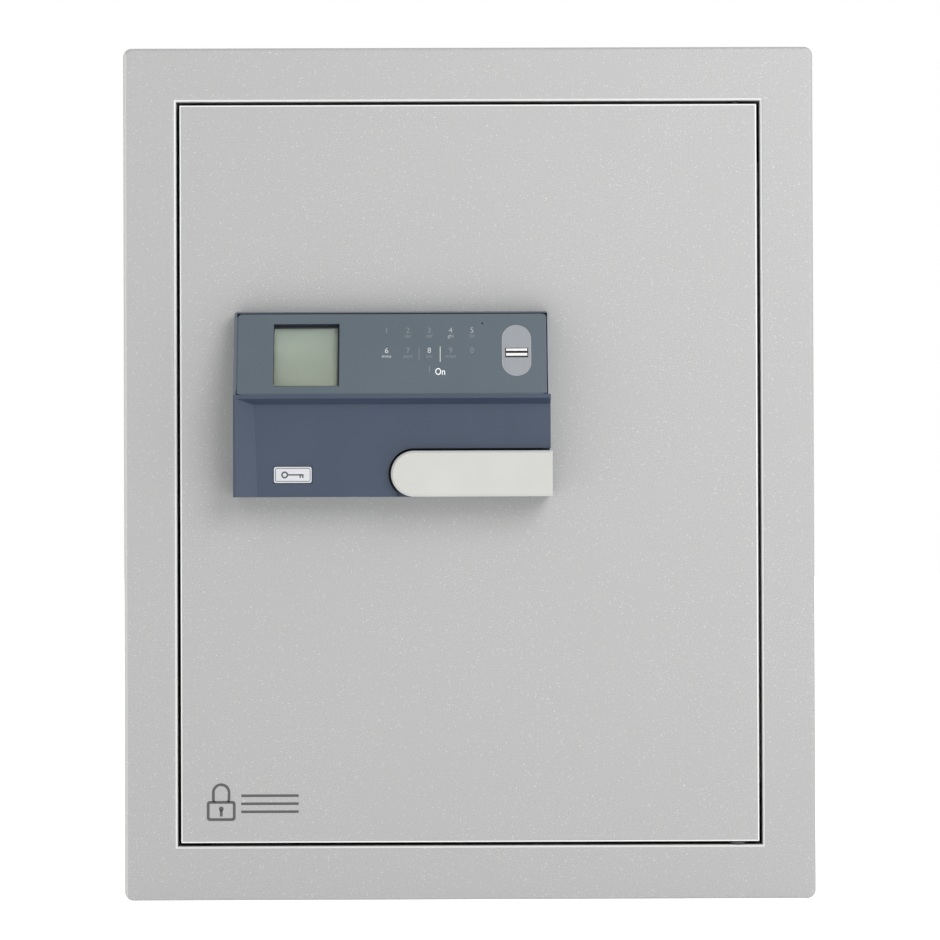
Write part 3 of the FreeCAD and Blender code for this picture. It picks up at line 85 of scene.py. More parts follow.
class Tree:
    """A short way to build a material's node tree."""

    def __init__(self, name):
        self.material = bpy.data.materials.new(name)
        self.material.use_nodes = True
        self.nodes = self.material.node_tree.nodes
        self.links = self.material.node_tree.links
        self.shader = self.nodes["Principled BSDF"]
        self.place = self.add("ShaderNodeTexCoord").outputs["Object"]

    def add(self, kind, **settings):
        """A new node with its settings."""
        node = self.nodes.new(kind)
        for key, setting in settings.items():
            setattr(node, key, setting)
        return node

    def feed(self, socket, source):
        """Link a source into a socket, or set the socket to a plain value."""
        if isinstance(source, bpy.types.NodeSocket):
            self.links.new(source, socket)
        else:
            socket.default_value = source

    def stretched(self, scale):
        """Object coordinates scaled differently along each axis."""
        mapping = self.add("ShaderNodeMapping")
        self.feed(mapping.inputs["Vector"], self.place)
        mapping.inputs["Scale"].default_value = scale
        return mapping.outputs["Vector"]

    def noise(self, scale, detail=2.0, roughness=0.5, vector=None):
        """Soft noise from 0 to 1."""
        node = self.add("ShaderNodeTexNoise")
        self.feed(node.inputs["Vector"], vector or self.place)
        node.inputs["Scale"].default_value = scale
        node.inputs["Detail"].default_value = detail
        node.inputs["Roughness"].default_value = roughness
        return node.outputs["Fac"]

    def cells(self, scale, feature="F1", randomness=1.0):
        """The outputs of a cell pattern."""
        node = self.add("ShaderNodeTexVoronoi", feature=feature)
        self.feed(node.inputs["Vector"], self.place)
        node.inputs["Scale"].default_value = scale
        node.inputs["Randomness"].default_value = randomness
        return node.outputs

    def ramp(self, source, low, high, start=0.0, end=1.0):
        """Spread a source between two values."""
        node = self.add("ShaderNodeMapRange")
        self.feed(node.inputs["Value"], source)
        for socket, setting in zip(("From Min", "From Max", "To Min", "To Max"), (start, end, low, high)):
            node.inputs[socket].default_value = setting
        return node.outputs["Result"]

    def colours(self, source, *stops):
        """Colours along a source. A stop is (position, (r, g, b))."""
        node = self.add("ShaderNodeValToRGB")
        self.feed(node.inputs["Fac"], source)
        elements = node.color_ramp.elements
        while len(elements) < len(stops):
            elements.new(0.5)
        for element, (position, colour) in zip(elements, stops):
            element.position = position
            element.color = (*colour, 1)
        return node.outputs["Color"]

    def mix(self, factor, first, second):
        """A colour between two, each a plain colour or an output."""
        node = self.add("ShaderNodeMix", data_type="RGBA")
        self.feed(node.inputs["Factor"], factor)
        for socket, colour in ((node.inputs["A"], first), (node.inputs["B"], second)):
            self.feed(socket, colour if isinstance(colour, bpy.types.NodeSocket) else (*colour, 1))
        return node.outputs["Result"]

    def math(self, operation, first, second=0.0):
        """One operation on two values."""
        node = self.add("ShaderNodeMath", operation=operation)
        self.feed(node.inputs[0], first)
        self.feed(node.inputs[1], second)
        return node.outputs["Value"]

    def bump(self, height, strength, distance, edge=0.0):
        """Relief from a height, over edges rounded by a radius."""
        node = self.add("ShaderNodeBump")
        self.feed(node.inputs["Height"], height)
        node.inputs["Strength"].default_value = strength
        node.inputs["Distance"].default_value = distance
        if edge:
            rounded = self.add("ShaderNodeBevel", samples=4)
            rounded.inputs["Radius"].default_value = edge
            self.feed(node.inputs["Normal"], rounded.outputs["Normal"])
        self.links.new(node.outputs["Normal"], self.shader.inputs["Normal"])

    def axes(self):
        """The object's x, y and z coordinates."""
        node = self.add("ShaderNodeSeparateXYZ")
        self.feed(node.inputs["Vector"], self.place)
        return node.outputs

    def set(self, **values):
        """Set or link the shader's main sockets by short names."""
        names = {"colour": "Base Color", "rough": "Roughness", "metal": "Metallic", "ior": "IOR",
                 "coat": "Coat Weight", "coat_rough": "Coat Roughness", "clear": "Transmission Weight",
                 "sheen": "Sheen Weight", "glow": "Emission Strength"}
        for key, source in values.items():
            if key == "colour" and isinstance(source, tuple):
                source = (*source, 1)
            self.feed(self.shader.inputs[names[key]], source)
        return self


def shade(colour, factor):
    """A colour made lighter or darker."""
    return tuple(channel * factor for channel in colour)


# ---------------------------------------------------------------------------------------------
# Materials
# ---------------------------------------------------------------------------------------------

def edge_highlight_mask(tree, half_width, half_height, inside):
    """A mask over the front face beside a rectangle's border, just inside it or just outside, for a painted
    highlight.
    """
    x, y, z = tree.axes()
    beyond = tree.math("MAXIMUM", tree.math("SUBTRACT", tree.math("ABSOLUTE", x), half_width),
                       tree.math("SUBTRACT", tree.math("ABSOLUTE", z), half_height))
    if inside:
        near = tree.math("GREATER_THAN", beyond, -0.8 * MM)
    else:
        near = tree.math("LESS_THAN", beyond, 1.1 * MM)
    front = tree.math("LESS_THAN", y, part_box("front_frame")[0].y + 2 * MM)
    return tree.math("MULTIPLY", near, front)


def powder_coat(name, colour, sparkle=0.0, grain=0.3, band=None):
    """Textured powder coat: orange peel, fine grain and, where wanted, bright metallic specks.

    A band is (half width, half height, inside): a rectangle along whose border the coat gets a painted
    highlight, lighter as if the edge caught the light.
    The frame's outer bend on the left gets a weaker painted highlight too.
    """
    tree = Tree(name)
    fine = tree.noise(1500, 3, 0.65)
    broad = tree.noise(14, 3, 0.5)
    tint = tree.colours(fine, (0.32, shade(colour, 1 - grain * 0.42)), (0.52, colour),
                        (0.72, shade(colour, 1 + grain * 0.42)))
    tint = tree.mix(tree.ramp(broad, 0.0, 0.5, 0.35, 0.65), tint, shade(colour, 0.965))
    if sparkle:
        specks = tree.cells(900)["Distance"]
        lit = tree.math("LESS_THAN", specks, 0.15)
        chosen = tree.math("GREATER_THAN", tree.noise(420, 0, 0.5), 0.57)
        tint = tree.mix(tree.math("MULTIPLY", tree.math("MULTIPLY", lit, chosen), sparkle), tint,
                        (0.75, 0.75, 0.74))
    # painted highlight: the coat is lighter along the door's edge or round the frame's opening, and on the
    # frame's left bend
    if band:
        strength = 0.85 if band[2] else 0.62
        tint = tree.mix(tree.math("MULTIPLY", edge_highlight_mask(tree, *band), strength), tint, (0.74, 0.745, 0.735))
        bend = tree.math("LESS_THAN", tree.axes()["X"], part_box("front_frame")[0].x + 1.9 * MM)
        tint = tree.mix(tree.math("MULTIPLY", bend, 0.3), tint, (0.70, 0.70, 0.69))
    tree.set(colour=tint, rough=tree.ramp(fine, 0.42, 0.62), metal=0.15)
    peel = tree.math("ADD", tree.math("MULTIPLY", fine, 0.7), tree.noise(520, 2, 0.5))
    tree.bump(peel, 0.22, 0.18 * MM, 0.4 * MM)
    return tree.material


def moulded_plastic(name, colour, rough=0.42, grain_scale=2600, grain=0.12, gloss=0.0, rim=None):
    """Moulded plastic with a fine spark-eroded grain; a rim function may change the tint in places."""
    tree = Tree(name)
    broad = tree.noise(30, 2, 0.5)
    fine = tree.noise(grain_scale, 2, 0.6)
    tint = tree.colours(broad, (0.3, shade(colour, 0.96)), (0.7, shade(colour, 1.04)))
    tint = tree.mix(tree.ramp(fine, 0.0, 0.3, 0.4, 0.8), tint, shade(colour, 1.12))
    if rim:
        tint = rim(tree, tint)
    tree.set(colour=tint, rough=tree.ramp(fine, rough - 0.05, rough + 0.07), coat=gloss, coat_rough=0.12)
    tree.bump(fine, grain, 0.06 * MM, 0.3 * MM)
    return tree.material


def worked_steel(name, colour, rough=0.3, stretch=(60, 60, 4000), wear=0.1):
    """Steel with a machining or rolling grain that runs along the axis of the smallest stretch."""
    tree = Tree(name)
    lines = tree.noise(1, 3, 0.6, tree.stretched(stretch))
    cloud = tree.noise(35, 4, 0.6)
    tint = tree.colours(lines, (0.3, shade(colour, 1 - wear)), (0.7, shade(colour, 1 + wear * 0.6)))
    tint = tree.mix(tree.ramp(cloud, 0.0, 0.35, 0.45, 0.75), tint, shade(colour, 0.86))
    tree.set(colour=tint, metal=1.0, rough=tree.ramp(lines, rough - 0.06, rough + 0.1, 0.3, 0.7))
    tree.bump(lines, 0.08, 0.00005)
    return tree.material


def galvanised(name):
    """Zinc with its flat crystals, each a little lighter or darker."""
    tree = Tree(name)
    crystals = tree.cells(160)["Color"]
    split = tree.add("ShaderNodeSeparateColor")
    tree.feed(split.inputs["Color"], crystals)
    tint = tree.colours(split.outputs["Red"], (0.0, (0.42, 0.43, 0.45)), (1.0, (0.62, 0.63, 0.64)))
    tree.set(colour=tint, metal=0.9, rough=tree.ramp(split.outputs["Green"], 0.32, 0.52))
    tree.bump(tree.noise(700, 2, 0.5), 0.1, 0.00008)
    return tree.material


def zinc_plate(name):
    """Bright zinc plating with a faint yellow-blue passivation."""
    tree = Tree(name)
    cloud = tree.noise(260, 2, 0.5)
    tint = tree.colours(cloud, (0.3, (0.62, 0.63, 0.66)), (0.5, (0.68, 0.67, 0.62)),
                        (0.7, (0.64, 0.66, 0.68)))
    tree.set(colour=tint, metal=1.0, rough=tree.ramp(cloud, 0.22, 0.36))
    return tree.material


def chrome(name):
    """Bright chrome with faint smears."""
    tree = Tree(name)
    smear = tree.noise(420, 2, 0.5)
    tree.set(colour=tree.colours(smear, (0.3, (0.90, 0.89, 0.89)), (0.7, (0.96, 0.95, 0.95))), metal=0.6,
             rough=tree.ramp(smear, 0.05, 0.16))
    return tree.material


def brass(name):
    """Turned brass with fine rings."""
    tree = Tree(name)
    turned = tree.noise(1, 2, 0.5, tree.stretched((3000, 60, 60)))
    tint = tree.colours(turned, (0.3, (0.70, 0.50, 0.22)), (0.7, (0.82, 0.62, 0.30)))
    tree.set(colour=tint, metal=1.0, rough=tree.ramp(turned, 0.24, 0.38))
    return tree.material


def rubber(name):
    """Matte black rubber."""
    tree = Tree(name)
    fine = tree.noise(1800, 2, 0.6)
    tree.set(colour=tree.colours(fine, (0.3, (0.018, 0.018, 0.019)), (0.7, (0.034, 0.034, 0.035))),
             rough=tree.ramp(fine, 0.7, 0.88))
    tree.bump(fine, 0.2, 0.0001)
    return tree.material


def needle_felt(name):
    """Dark felt: matted fibres with lighter flecks."""
    tree = Tree(name)
    matted = tree.noise(900, 5, 0.75)
    clumps = tree.noise(90, 3, 0.6)
    tint = tree.colours(matted, (0.25, (0.020, 0.022, 0.026)), (0.55, (0.055, 0.058, 0.065)),
                        (0.8, (0.13, 0.135, 0.145)))
    tint = tree.mix(tree.ramp(clumps, 0.0, 0.4, 0.4, 0.7), tint, (0.03, 0.032, 0.037))
    tree.set(colour=tint, rough=0.95, sheen=0.3)
    tree.bump(matted, 0.8, 0.0006)
    return tree.material


def clear_window(name):
    """A clear window with faint smears."""
    tree = Tree(name)
    smear = tree.noise(60, 2, 0.5)
    tree.set(colour=(0.97, 0.985, 0.97), rough=tree.ramp(smear, 0.02, 0.08), clear=1.0, ior=1.35)
    return tree.material


def liquid_crystal(name):
    """The grey-green face of a reflective display, with its fine dot matrix."""
    tree = Tree(name)
    grid = tree.cells(2400, randomness=0.0)["Distance"]
    cloud = tree.noise(28, 2, 0.5)
    tint = tree.colours(cloud, (0.35, (0.560, 0.638, 0.567)), (0.65, (0.608, 0.685, 0.613)))
    tint = tree.mix(tree.ramp(grid, 0.0, 0.12, 0.3, 0.6), tint, (0.45, 0.53, 0.42))
    x, y, z = tree.axes()
    low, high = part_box("display_module")
    tint = tree.mix(tree.ramp(z, 0.5, 0.0, low.z, high.z), tint, (0.76, 0.805, 0.63))
    tree.set(colour=tint, rough=tree.ramp(cloud, 0.30, 0.42))
    return tree.material


def satin_plate(name, colour=(0.238, 0.248, 0.266), along=(3500, 40, 40)):
    """Satin metal, brushed across the axis of the largest stretch."""
    tree = Tree(name)
    lines = tree.noise(1, 3, 0.6, tree.stretched(along))
    tree.set(colour=tree.colours(lines, (0.3, shade(colour, 0.93)), (0.7, shade(colour, 1.06))),
             metal=0.45, rough=tree.ramp(lines, 0.34, 0.5))
    tree.bump(lines, 0.06, 0.00004)
    return tree.material


def circuit_board(name):
    """Green solder resist over a faint net of tracks."""
    tree = Tree(name)
    tracks = tree.cells(260, "DISTANCE_TO_EDGE")["Distance"]
    tint = tree.colours(tracks, (0.0, (0.05, 0.22, 0.11)), (0.12, (0.02, 0.12, 0.055)))
    tree.set(colour=tint, rough=tree.ramp(tracks, 0.25, 0.4), coat=0.4, coat_rough=0.15)
    return tree.material


def printed(name, colour):
    """Screen-printed ink, slightly uneven."""
    tree = Tree(name)
    fine = tree.noise(2200, 2, 0.6)
    tree.set(colour=tree.colours(fine, (0.3, shade(colour, 0.82)), (0.7, shade(colour, 1.08))),
             rough=tree.ramp(fine, 0.45, 0.6))
    return tree.material


def cell_sleeve(name):
    """A plain sleeve in two greys, with bare metal at its top end."""
    tree = Tree(name)
    low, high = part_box("batteries")
    rise = tree.ramp(tree.axes()["Z"], 0.0, 1.0, low.z, high.z)
    pale, dark, bare = (0.30, 0.31, 0.32), (0.12, 0.125, 0.13), (0.7, 0.7, 0.7)
    tint = tree.colours(rise, (0.0, pale), (0.70, pale), (0.71, dark), (0.97, dark), (0.98, bare))
    tree.set(colour=tint, metal=0.5, rough=tree.ramp(tree.noise(600, 2, 0.5), 0.22, 0.34))
    return tree.material


SILVER = (0.338, 0.339, 0.337)
SLATE = (0.0247, 0.0396, 0.0684)
PANEL = (0.0583, 0.0785, 0.0972)
DOOR_HALF = [side / 2 for side in (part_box("door_leaf")[1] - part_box("door_leaf")[0])]
OPENING_HALF = [half + 2 * MM for half in DOOR_HALF]

MATERIALS = {
    "frame_coat": lambda: powder_coat("frame_coat", SILVER, 0.85, 0.45,
                                      (OPENING_HALF[0], OPENING_HALF[2], False)),
    "door_coat": lambda: powder_coat("door_coat", SILVER, 0.85, 0.45, (DOOR_HALF[0], DOOR_HALF[2], True)),
    "carcass_coat": lambda: powder_coat("carcass_coat", (0.30, 0.305, 0.31), 0.0, 0.2),
    "galvanised_steel": lambda: galvanised("galvanised_steel"),
    "bright_steel": lambda: worked_steel("bright_steel", (0.62, 0.62, 0.63), 0.24),
    "zinc_screws": lambda: zinc_plate("zinc_screws"),
    "carriage_steel": lambda: worked_steel("carriage_steel", (0.40, 0.40, 0.41), 0.36, (60, 900, 900)),
    "brass": lambda: brass("brass"),
    "black_rubber": lambda: rubber("black_rubber"),
    "dark_felt": lambda: needle_felt("dark_felt"),
    "slate_plastic": lambda: moulded_plastic("slate_plastic", SLATE, 0.40),
    "panel_plastic": lambda: moulded_plastic("panel_plastic", PANEL, 0.38),
    "white_plastic": lambda: moulded_plastic("white_plastic", (0.404, 0.404, 0.388), 0.34, 3000, 0.05, 0.15),
    "clear_window": lambda: clear_window("clear_window"),
    "display_grey": lambda: liquid_crystal("display_grey"),
    "satin_plate": lambda: satin_plate("satin_plate"),
    "sensor_black": lambda: moulded_plastic("sensor_black", (0.012, 0.012, 0.014), 0.15, 1800, 0.02, 0.6),
    "board_green": lambda: circuit_board("board_green"),
    "black_plastic": lambda: moulded_plastic("black_plastic", (0.022, 0.022, 0.024), 0.45, 1800, 0.2),
    "coil_yoke": lambda: worked_steel("coil_yoke", (0.12, 0.12, 0.13), 0.42, (500, 500, 60)),
    "badge_metal": lambda: satin_plate("badge_metal", (0.52, 0.53, 0.55), (60, 60, 3600)),
    "cell_sleeve": lambda: cell_sleeve("cell_sleeve"),
}


def dress_nodes():
    """Give every CAD node its slot's material, and the hinge pins a blackened steel."""
    made = {slot: make() for slot, make in MATERIALS.items()}
    for part in frame["record"]["subparts"]:
        piece = NODES[part["node"]]
        piece.data.materials.clear()
        piece.data.materials.append(made[part["material_slot"]])
    blackened = worked_steel("blackened_steel", (0.035, 0.035, 0.037), 0.55)
    for name in ("upper_hinge_pin", "lower_hinge_pin"):
        NODES[name].data.materials[0] = blackened
    return made


MADE = dress_nodes()

# ---------------------------------------------------------------------------------------------
# Mesh helpers
# ---------------------------------------------------------------------------------------------


def new_piece(name, mesh_maker, material, body):
    """A mesh object made by a bmesh function, which rides on a body."""
    mesh = bpy.data.meshes.new(name)
    bm = bmesh.new()
    mesh_maker(bm)
    bmesh.ops.recalc_face_normals(bm, faces=bm.faces)
    bm.to_mesh(mesh)
    bm.free()
    piece = bpy.data.objects.new(name, mesh)
    scene.collection.objects.link(piece)
    mesh.materials.append(material)
    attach(piece, body)
    return piece


def soften(piece, width, segments=2):
    """Round a piece's sharp edges."""
    bevel = piece.modifiers.new("edges", "BEVEL")
    bevel.width = width
    bevel.segments = segments
    bevel.limit_method = "ANGLE"
    bevel.angle_limit = math.radians(35)
    return piece


def add_block(bm, centre, size, turn=Matrix.Identity(4)):
    """A block of a size about a centre, both in the turned frame."""
    place = turn @ Matrix.Translation(centre) @ Matrix.Diagonal((*size, 1))
    bmesh.ops.create_cube(bm, size=1, matrix=place)


# ---------------------------------------------------------------------------------------------
# The panel's own frame: u across, v up its slope, w out of its face
# ---------------------------------------------------------------------------------------------

PANEL_SLOPE = math.radians(20)


def panel_frame():
    """The panel's frame, found from its mesh: its face and the middle of its outline."""
    sine, cosine = math.sin(PANEL_SLOPE), math.cos(PANEL_SLOPE)
    turn = Matrix(((1, 0, 0), (0, sine, -cosine), (0, cosine, sine))).to_4x4()
    points = [turn.inverted() @ vertex.co for vertex in NODES["control_panel"].data.vertices]
    middle = [(min(p[i] for p in points) + max(p[i] for p in points)) / 2 for i in (0, 1)]
    return turn @ Matrix.Translation((*middle, max(p.z for p in points)))


ON_PANEL = panel_frame()
FRONT = Matrix(((1, 0, 0), (0, 0, -1), (0, 1, 0))).to_4x4()   # u = X, v = Z, w = -Y


def lettering(name, text, size, place, material, narrow=1.0, depth=0.04 * MM):
    """Raised print on the door: text as a thin solid, centred on a place, in its w = 0 plane."""
    curve = bpy.data.curves.new(name, "FONT")
    curve.body = text
    curve.size = size
    curve.align_x = "CENTER"
    curve.align_y = "CENTER"
    curve.extrude = depth / 2
    curve.resolution_u = 4
    source = bpy.data.objects.new(f"{name}_curve", curve)
    scene.collection.objects.link(source)
    bpy.context.view_layer.update()
    mesh = bpy.data.meshes.new_from_object(source)
    bpy.data.objects.remove(source)
    mesh.transform(place @ Matrix.Translation((0, 0, depth / 2)) @ Matrix.Diagonal((narrow, 1, 1, 1)))
    mesh.materials.clear()
    mesh.materials.append(material)
    piece = bpy.data.objects.new(name, mesh)
    scene.collection.objects.link(piece)
    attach(piece, "door")
    return piece


# ---------------------------------------------------------------------------------------------
# Print on the control panel
# ---------------------------------------------------------------------------------------------


def rim_painted_highlight(tree, tint):
    """A painted highlight on the thin rim of the housing round the panel, strongest on its right."""
    x, y, z = tree.axes()
    low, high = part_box("control_panel")
    *outward, offset = ON_PANEL.inverted()[2]
    out = offset
    for axis, share in zip((x, y, z), outward):
        out = tree.math("ADD", tree.math("MULTIPLY", axis, share), out)
    front = tree.math("MULTIPLY", tree.math("GREATER_THAN", out, -1.0 * MM),
                      tree.math("GREATER_THAN", z, low.z + 0.5 * MM))
    right = tree.math("MULTIPLY", front, tree.math("GREATER_THAN", x, high.x))
    tint = tree.mix(tree.math("MULTIPLY", front, 0.8), tint, (0.085, 0.098, 0.118))
    return tree.mix(tree.math("MULTIPLY", right, 0.75), tint, (0.27, 0.275, 0.29))


# the housing's rim round the panel carries a painted highlight
NODES["lock_housing"].data.materials[0] = moulded_plastic("housing_plastic", SLATE, 0.40, rim=rim_painted_highlight)

FAINT_INK = printed("faint_ink", (0.155, 0.180, 0.195))
SOFT_INK = printed("soft_ink", (0.29, 0.31, 0.32))
PALE_INK = printed("pale_ink", (0.42, 0.44, 0.45))
BRIGHT_INK = printed("bright_ink", (0.80, 0.82, 0.82))

KEY_PITCH = 12.15 * MM
KEY_LETTERS = ["", "abc", "def", "ghi", "jkl", "mno", "pqrs", "tuv", "wxyz", ""]
DIGIT_INKS = {"4": SOFT_INK, "5": SOFT_INK, "6": PALE_INK, "8": PALE_INK}
LETTER_INKS = {"6": PALE_INK, "4": SOFT_INK}


def at_panel(across, up):
    """A place on the panel's face."""
    return ON_PANEL @ Matrix.Translation((across, up, 0))


def print_keypad():
    """Two rows of five digits with small letters below them, two dividers and the On mark."""
    first_u, row_v = -3.1 * MM, (14.0 * MM, 1.6 * MM)
    for number in range(10):
        digit = str((number + 1) % 10)
        across = first_u + number % 5 * KEY_PITCH
        up = row_v[number // 5]
        ink = DIGIT_INKS.get(digit, FAINT_INK)
        lettering(f"digit_{digit}", digit, 4.8 * MM, at_panel(across, up), ink, 0.95)
        if KEY_LETTERS[number]:
            lettering(f"letters_{digit}", KEY_LETTERS[number], 3.0 * MM,
                      at_panel(across, up - 3.4 * MM), LETTER_INKS.get(digit, FAINT_INK))
    for name, across, tall, wide, ink in (("divider_left", 1.52, 7.2 * MM, 0.35 * MM, FAINT_INK),
                                          ("divider_right", 2.51, 9.4 * MM, 0.5 * MM, PALE_INK)):
        centre = (first_u + across * KEY_PITCH, row_v[1] - 2.2 * MM, 0.02 * MM)
        new_piece(name, lambda bm: add_block(bm, centre, (wide, tall, 0.04 * MM), ON_PANEL), ink, "door")
    tick = (first_u + 2 * KEY_PITCH, -9.8 * MM, 0.02 * MM)
    new_piece("on_tick", lambda bm: add_block(bm, tick, (0.4 * MM, 4.0 * MM, 0.04 * MM), ON_PANEL),
              FAINT_INK, "door")
    lettering("on_mark", "On", 5.9 * MM, at_panel(first_u + 2.51 * KEY_PITCH, -11.5 * MM), BRIGHT_INK, 0.77)


print_keypad()

# ---------------------------------------------------------------------------------------------
# Details of the display, the fingerprint reader and the marks
# ---------------------------------------------------------------------------------------------

CHROME = chrome("chrome")
# the gasket's dark plastic also serves for the painted shadow strips on the display
GASKET_AND_PAINTED_SHADOW = moulded_plastic("gasket", (0.008, 0.012, 0.020), 0.5)
PLATE_RIM = satin_plate("plate_rim", (0.29, 0.30, 0.315))
SENSOR_STRIP = moulded_plastic("sensor_strip", (0.006, 0.006, 0.007), 0.2, 1800, 0.02)
MARK_INK = printed("mark_ink", (0.065, 0.065, 0.067))
ENGRAVED = printed("engraved", (0.05, 0.055, 0.06))


def node_middle_on_panel(name):
    """The middle and the size of a node across and up the panel."""
    points = [ON_PANEL.inverted() @ vertex.co for vertex in NODES[name].data.vertices]
    low = [min(p[i] for p in points) for i in range(3)]
    high = [max(p[i] for p in points) for i in range(3)]
    return [(a + b) / 2 for a, b in zip(low, high)], [b - a for a, b in zip(low, high)], high[2]


def stadium_points(width, height, steps=16):
    """A stadium's outline, anticlockwise, with round ends at its top and bottom."""
    radius, straight = width / 2, (height - width) / 2
    points = []
    for end, start in ((straight, 0.0), (-straight, math.pi)):
        for step in range(steps + 1):
            angle = start + math.pi * step / steps
            points.append((radius * math.cos(angle), end + radius * math.sin(angle)))
    return points


def rectangle_points(width, height, radius, steps=5):
    """A rounded rectangle's outline, anticlockwise."""
    points = []
    for turn, (right, up) in enumerate(((1, 1), (-1, 1), (-1, -1), (1, -1))):
        for step in range(steps + 1):
            angle = math.pi / 2 * (turn + step / steps)
            points.append((right * (width / 2 - radius) + radius * math.cos(angle),
                           up * (height / 2 - radius) + radius * math.sin(angle)))
    return points


def add_outline(bm, outer, inner, centre, low, high, frame):
    """A closed band between two outlines with as many points, from one height to another."""
    rings = []
    for points, height in ((outer, low), (inner, low), (inner, high), (outer, high)):
        rings.append([bm.verts.new(frame @ Vector((centre[0] + a, centre[1] + b, height)))
                      for a, b in points])
    count = len(outer)
    for first, second in zip(rings, rings[1:] + rings[:1]):
        for i in range(count):
            j = (i + 1) % count
            bm.faces.new((first[i], first[j], second[j], second[i]))


def add_disc(bm, centre, radius, low, high, frame, steps=24):
    """A round slab."""
    place = frame @ Matrix.Translation((centre[0], centre[1], (low + high) / 2))
    bmesh.ops.create_cone(bm, cap_ends=True, segments=steps, radius1=radius, radius2=radius,
                          depth=high - low, matrix=place)


def detail_display():
    """A dark lining in the display's recess, and a painted shadow: dark strips over the window's top and
    right, where the recess walls cast shade.
    """
    middle, size, face = node_middle_on_panel("display_window")
    wall = 0.25 * MM
    outer = rectangle_points(size[0] - 0.02 * MM, size[1] - 0.02 * MM, 0.4 * MM)
    inner = rectangle_points(size[0] - 2 * wall, size[1] - 2 * wall, 0.3 * MM)
    new_piece("display_gasket", lambda bm: add_outline(bm, outer, inner, middle, face, -0.3 * MM, ON_PANEL),
              GASKET_AND_PAINTED_SHADOW, "door")
    # painted shadow: dark strips along the window's top and right, for the shade cast by the recess walls
    top, right = 1.4 * MM, 1.15 * MM

    def border(bm):
        lift = face + 0.03 * MM
        add_block(bm, (middle[0], middle[1] + (size[1] - top) / 2, lift), (size[0], top, 0.06 * MM), ON_PANEL)
        add_block(bm, (middle[0] + (size[0] - right) / 2, middle[1] - top / 2, lift),
                  (right, size[1] - top, 0.06 * MM), ON_PANEL)

    new_piece("display_painted_shadow", border, GASKET_AND_PAINTED_SHADOW, "door")


def detail_reader():
    """The plate's light rim, and the sensor's chrome bars with a black strip between."""
    middle, size, face = node_middle_on_panel("fingerprint_plate")
    outer = stadium_points(size[0] - 0.05 * MM, size[1] - 0.05 * MM)
    inner = stadium_points(size[0] - 1.1 * MM, size[1] - 1.1 * MM)
    new_piece("plate_rim", lambda bm: add_outline(bm, outer, inner, middle, face, face + 0.12 * MM, ON_PANEL),
              PLATE_RIM, "door")
    middle, size, face = node_middle_on_panel("fingerprint_sensor")
    for name, rise, tall, material in (("bar_upper", 1.86, 1.35, CHROME), ("bar_lower", -1.03, 1.6, CHROME),
                                       ("strip", 0.45, 0.9, SENSOR_STRIP)):
        lift = 0.42 * MM if material == CHROME else 0.15 * MM
        place = (middle[0], middle[1] + rise * MM, face + lift / 2)
        wide = size[0] - 1.1 * MM
        bar = new_piece(f"sensor_{name}", lambda bm: add_block(bm, place, (wide, tall * MM, lift), ON_PANEL),
                        material, "door")
        if material == CHROME:
            soften(bar, 0.3 * MM, 3)


def add_padlock(bm, centre, size, depth, frame):
    """A padlock outline with a keyhole, about as tall as its size."""
    line = size * 0.07
    body = (size * 0.72, size * 0.5)
    body_middle = (centre[0], centre[1] - size * 0.22)
    add_outline(bm, rectangle_points(*body, size * 0.08),
                rectangle_points(body[0] - 2 * line, body[1] - 2 * line, size * 0.03), body_middle, 0, depth,
                frame)
    shackle = stadium_points(size * 0.46, size * 0.62)
    shackle_inner = stadium_points(size * 0.46 - 2 * line, size * 0.62 - 2 * line)
    upper = [(a, max(b, -size * 0.16)) for a, b in shackle]
    upper_inner = [(a, max(b, -size * 0.16)) for a, b in shackle_inner]
    add_outline(bm, upper, upper_inner, (centre[0], centre[1] + size * 0.16), 0, depth, frame)
    add_disc(bm, (centre[0], body_middle[1] + size * 0.05), size * 0.06, 0, depth, frame)
    add_block(bm, (centre[0], body_middle[1] - size * 0.06, depth / 2), (line, size * 0.16, depth), frame)


def detail_marks():
    """A generic padlock mark on the door, and a plain engraved key on the badge."""
    low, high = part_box("door_leaf")
    on_door = Matrix.Translation((0, low.y, 0)) @ FRONT
    depth = 0.04 * MM
    new_piece("door_mark_padlock",
              lambda bm: add_padlock(bm, (-143 * MM, -188.5 * MM), 23 * MM, depth, on_door), MARK_INK,
              "door")

    def rules(bm):
        for rise, wide in ((4.6, 33), (0, 33), (-4.6, 33)):
            add_block(bm, (-131.5 * MM + wide * MM / 2, (-189.5 + rise) * MM, depth / 2),
                      (wide * MM, 1.5 * MM, depth), on_door)

    new_piece("door_mark_rules", rules, MARK_INK, "door")
    low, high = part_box("badge_plate")
    middle = ((low.x + high.x) / 2, (low.z + high.z) / 2)
    on_badge = Matrix.Translation((0, low.y, 0)) @ FRONT
    wide, tall = high.x - low.x, high.z - low.z

    def key(bm):
        add_outline(bm, rectangle_points(wide - 1.4 * MM, tall - 1.4 * MM, 0.9 * MM),
                    rectangle_points(wide - 2.1 * MM, tall - 2.1 * MM, 0.6 * MM), middle, 0, depth, on_badge)
        ring = (middle[0] - 4.6 * MM, middle[1])
        add_outline(bm, stadium_points(4.0 * MM, 4.001 * MM), stadium_points(2.2 * MM, 2.201 * MM), ring, 0,
                    depth, on_badge)
        add_block(bm, (middle[0] + 1.7 * MM, middle[1], depth / 2), (8.8 * MM, 0.8 * MM, depth), on_badge)
        for across in (4.2, 5.7):
            add_block(bm, (middle[0] + across * MM, middle[1] - 0.9 * MM, depth / 2),
                      (0.8 * MM, 1.8 * MM, depth), on_badge)

    new_piece("badge_key", key, ENGRAVED, "door")


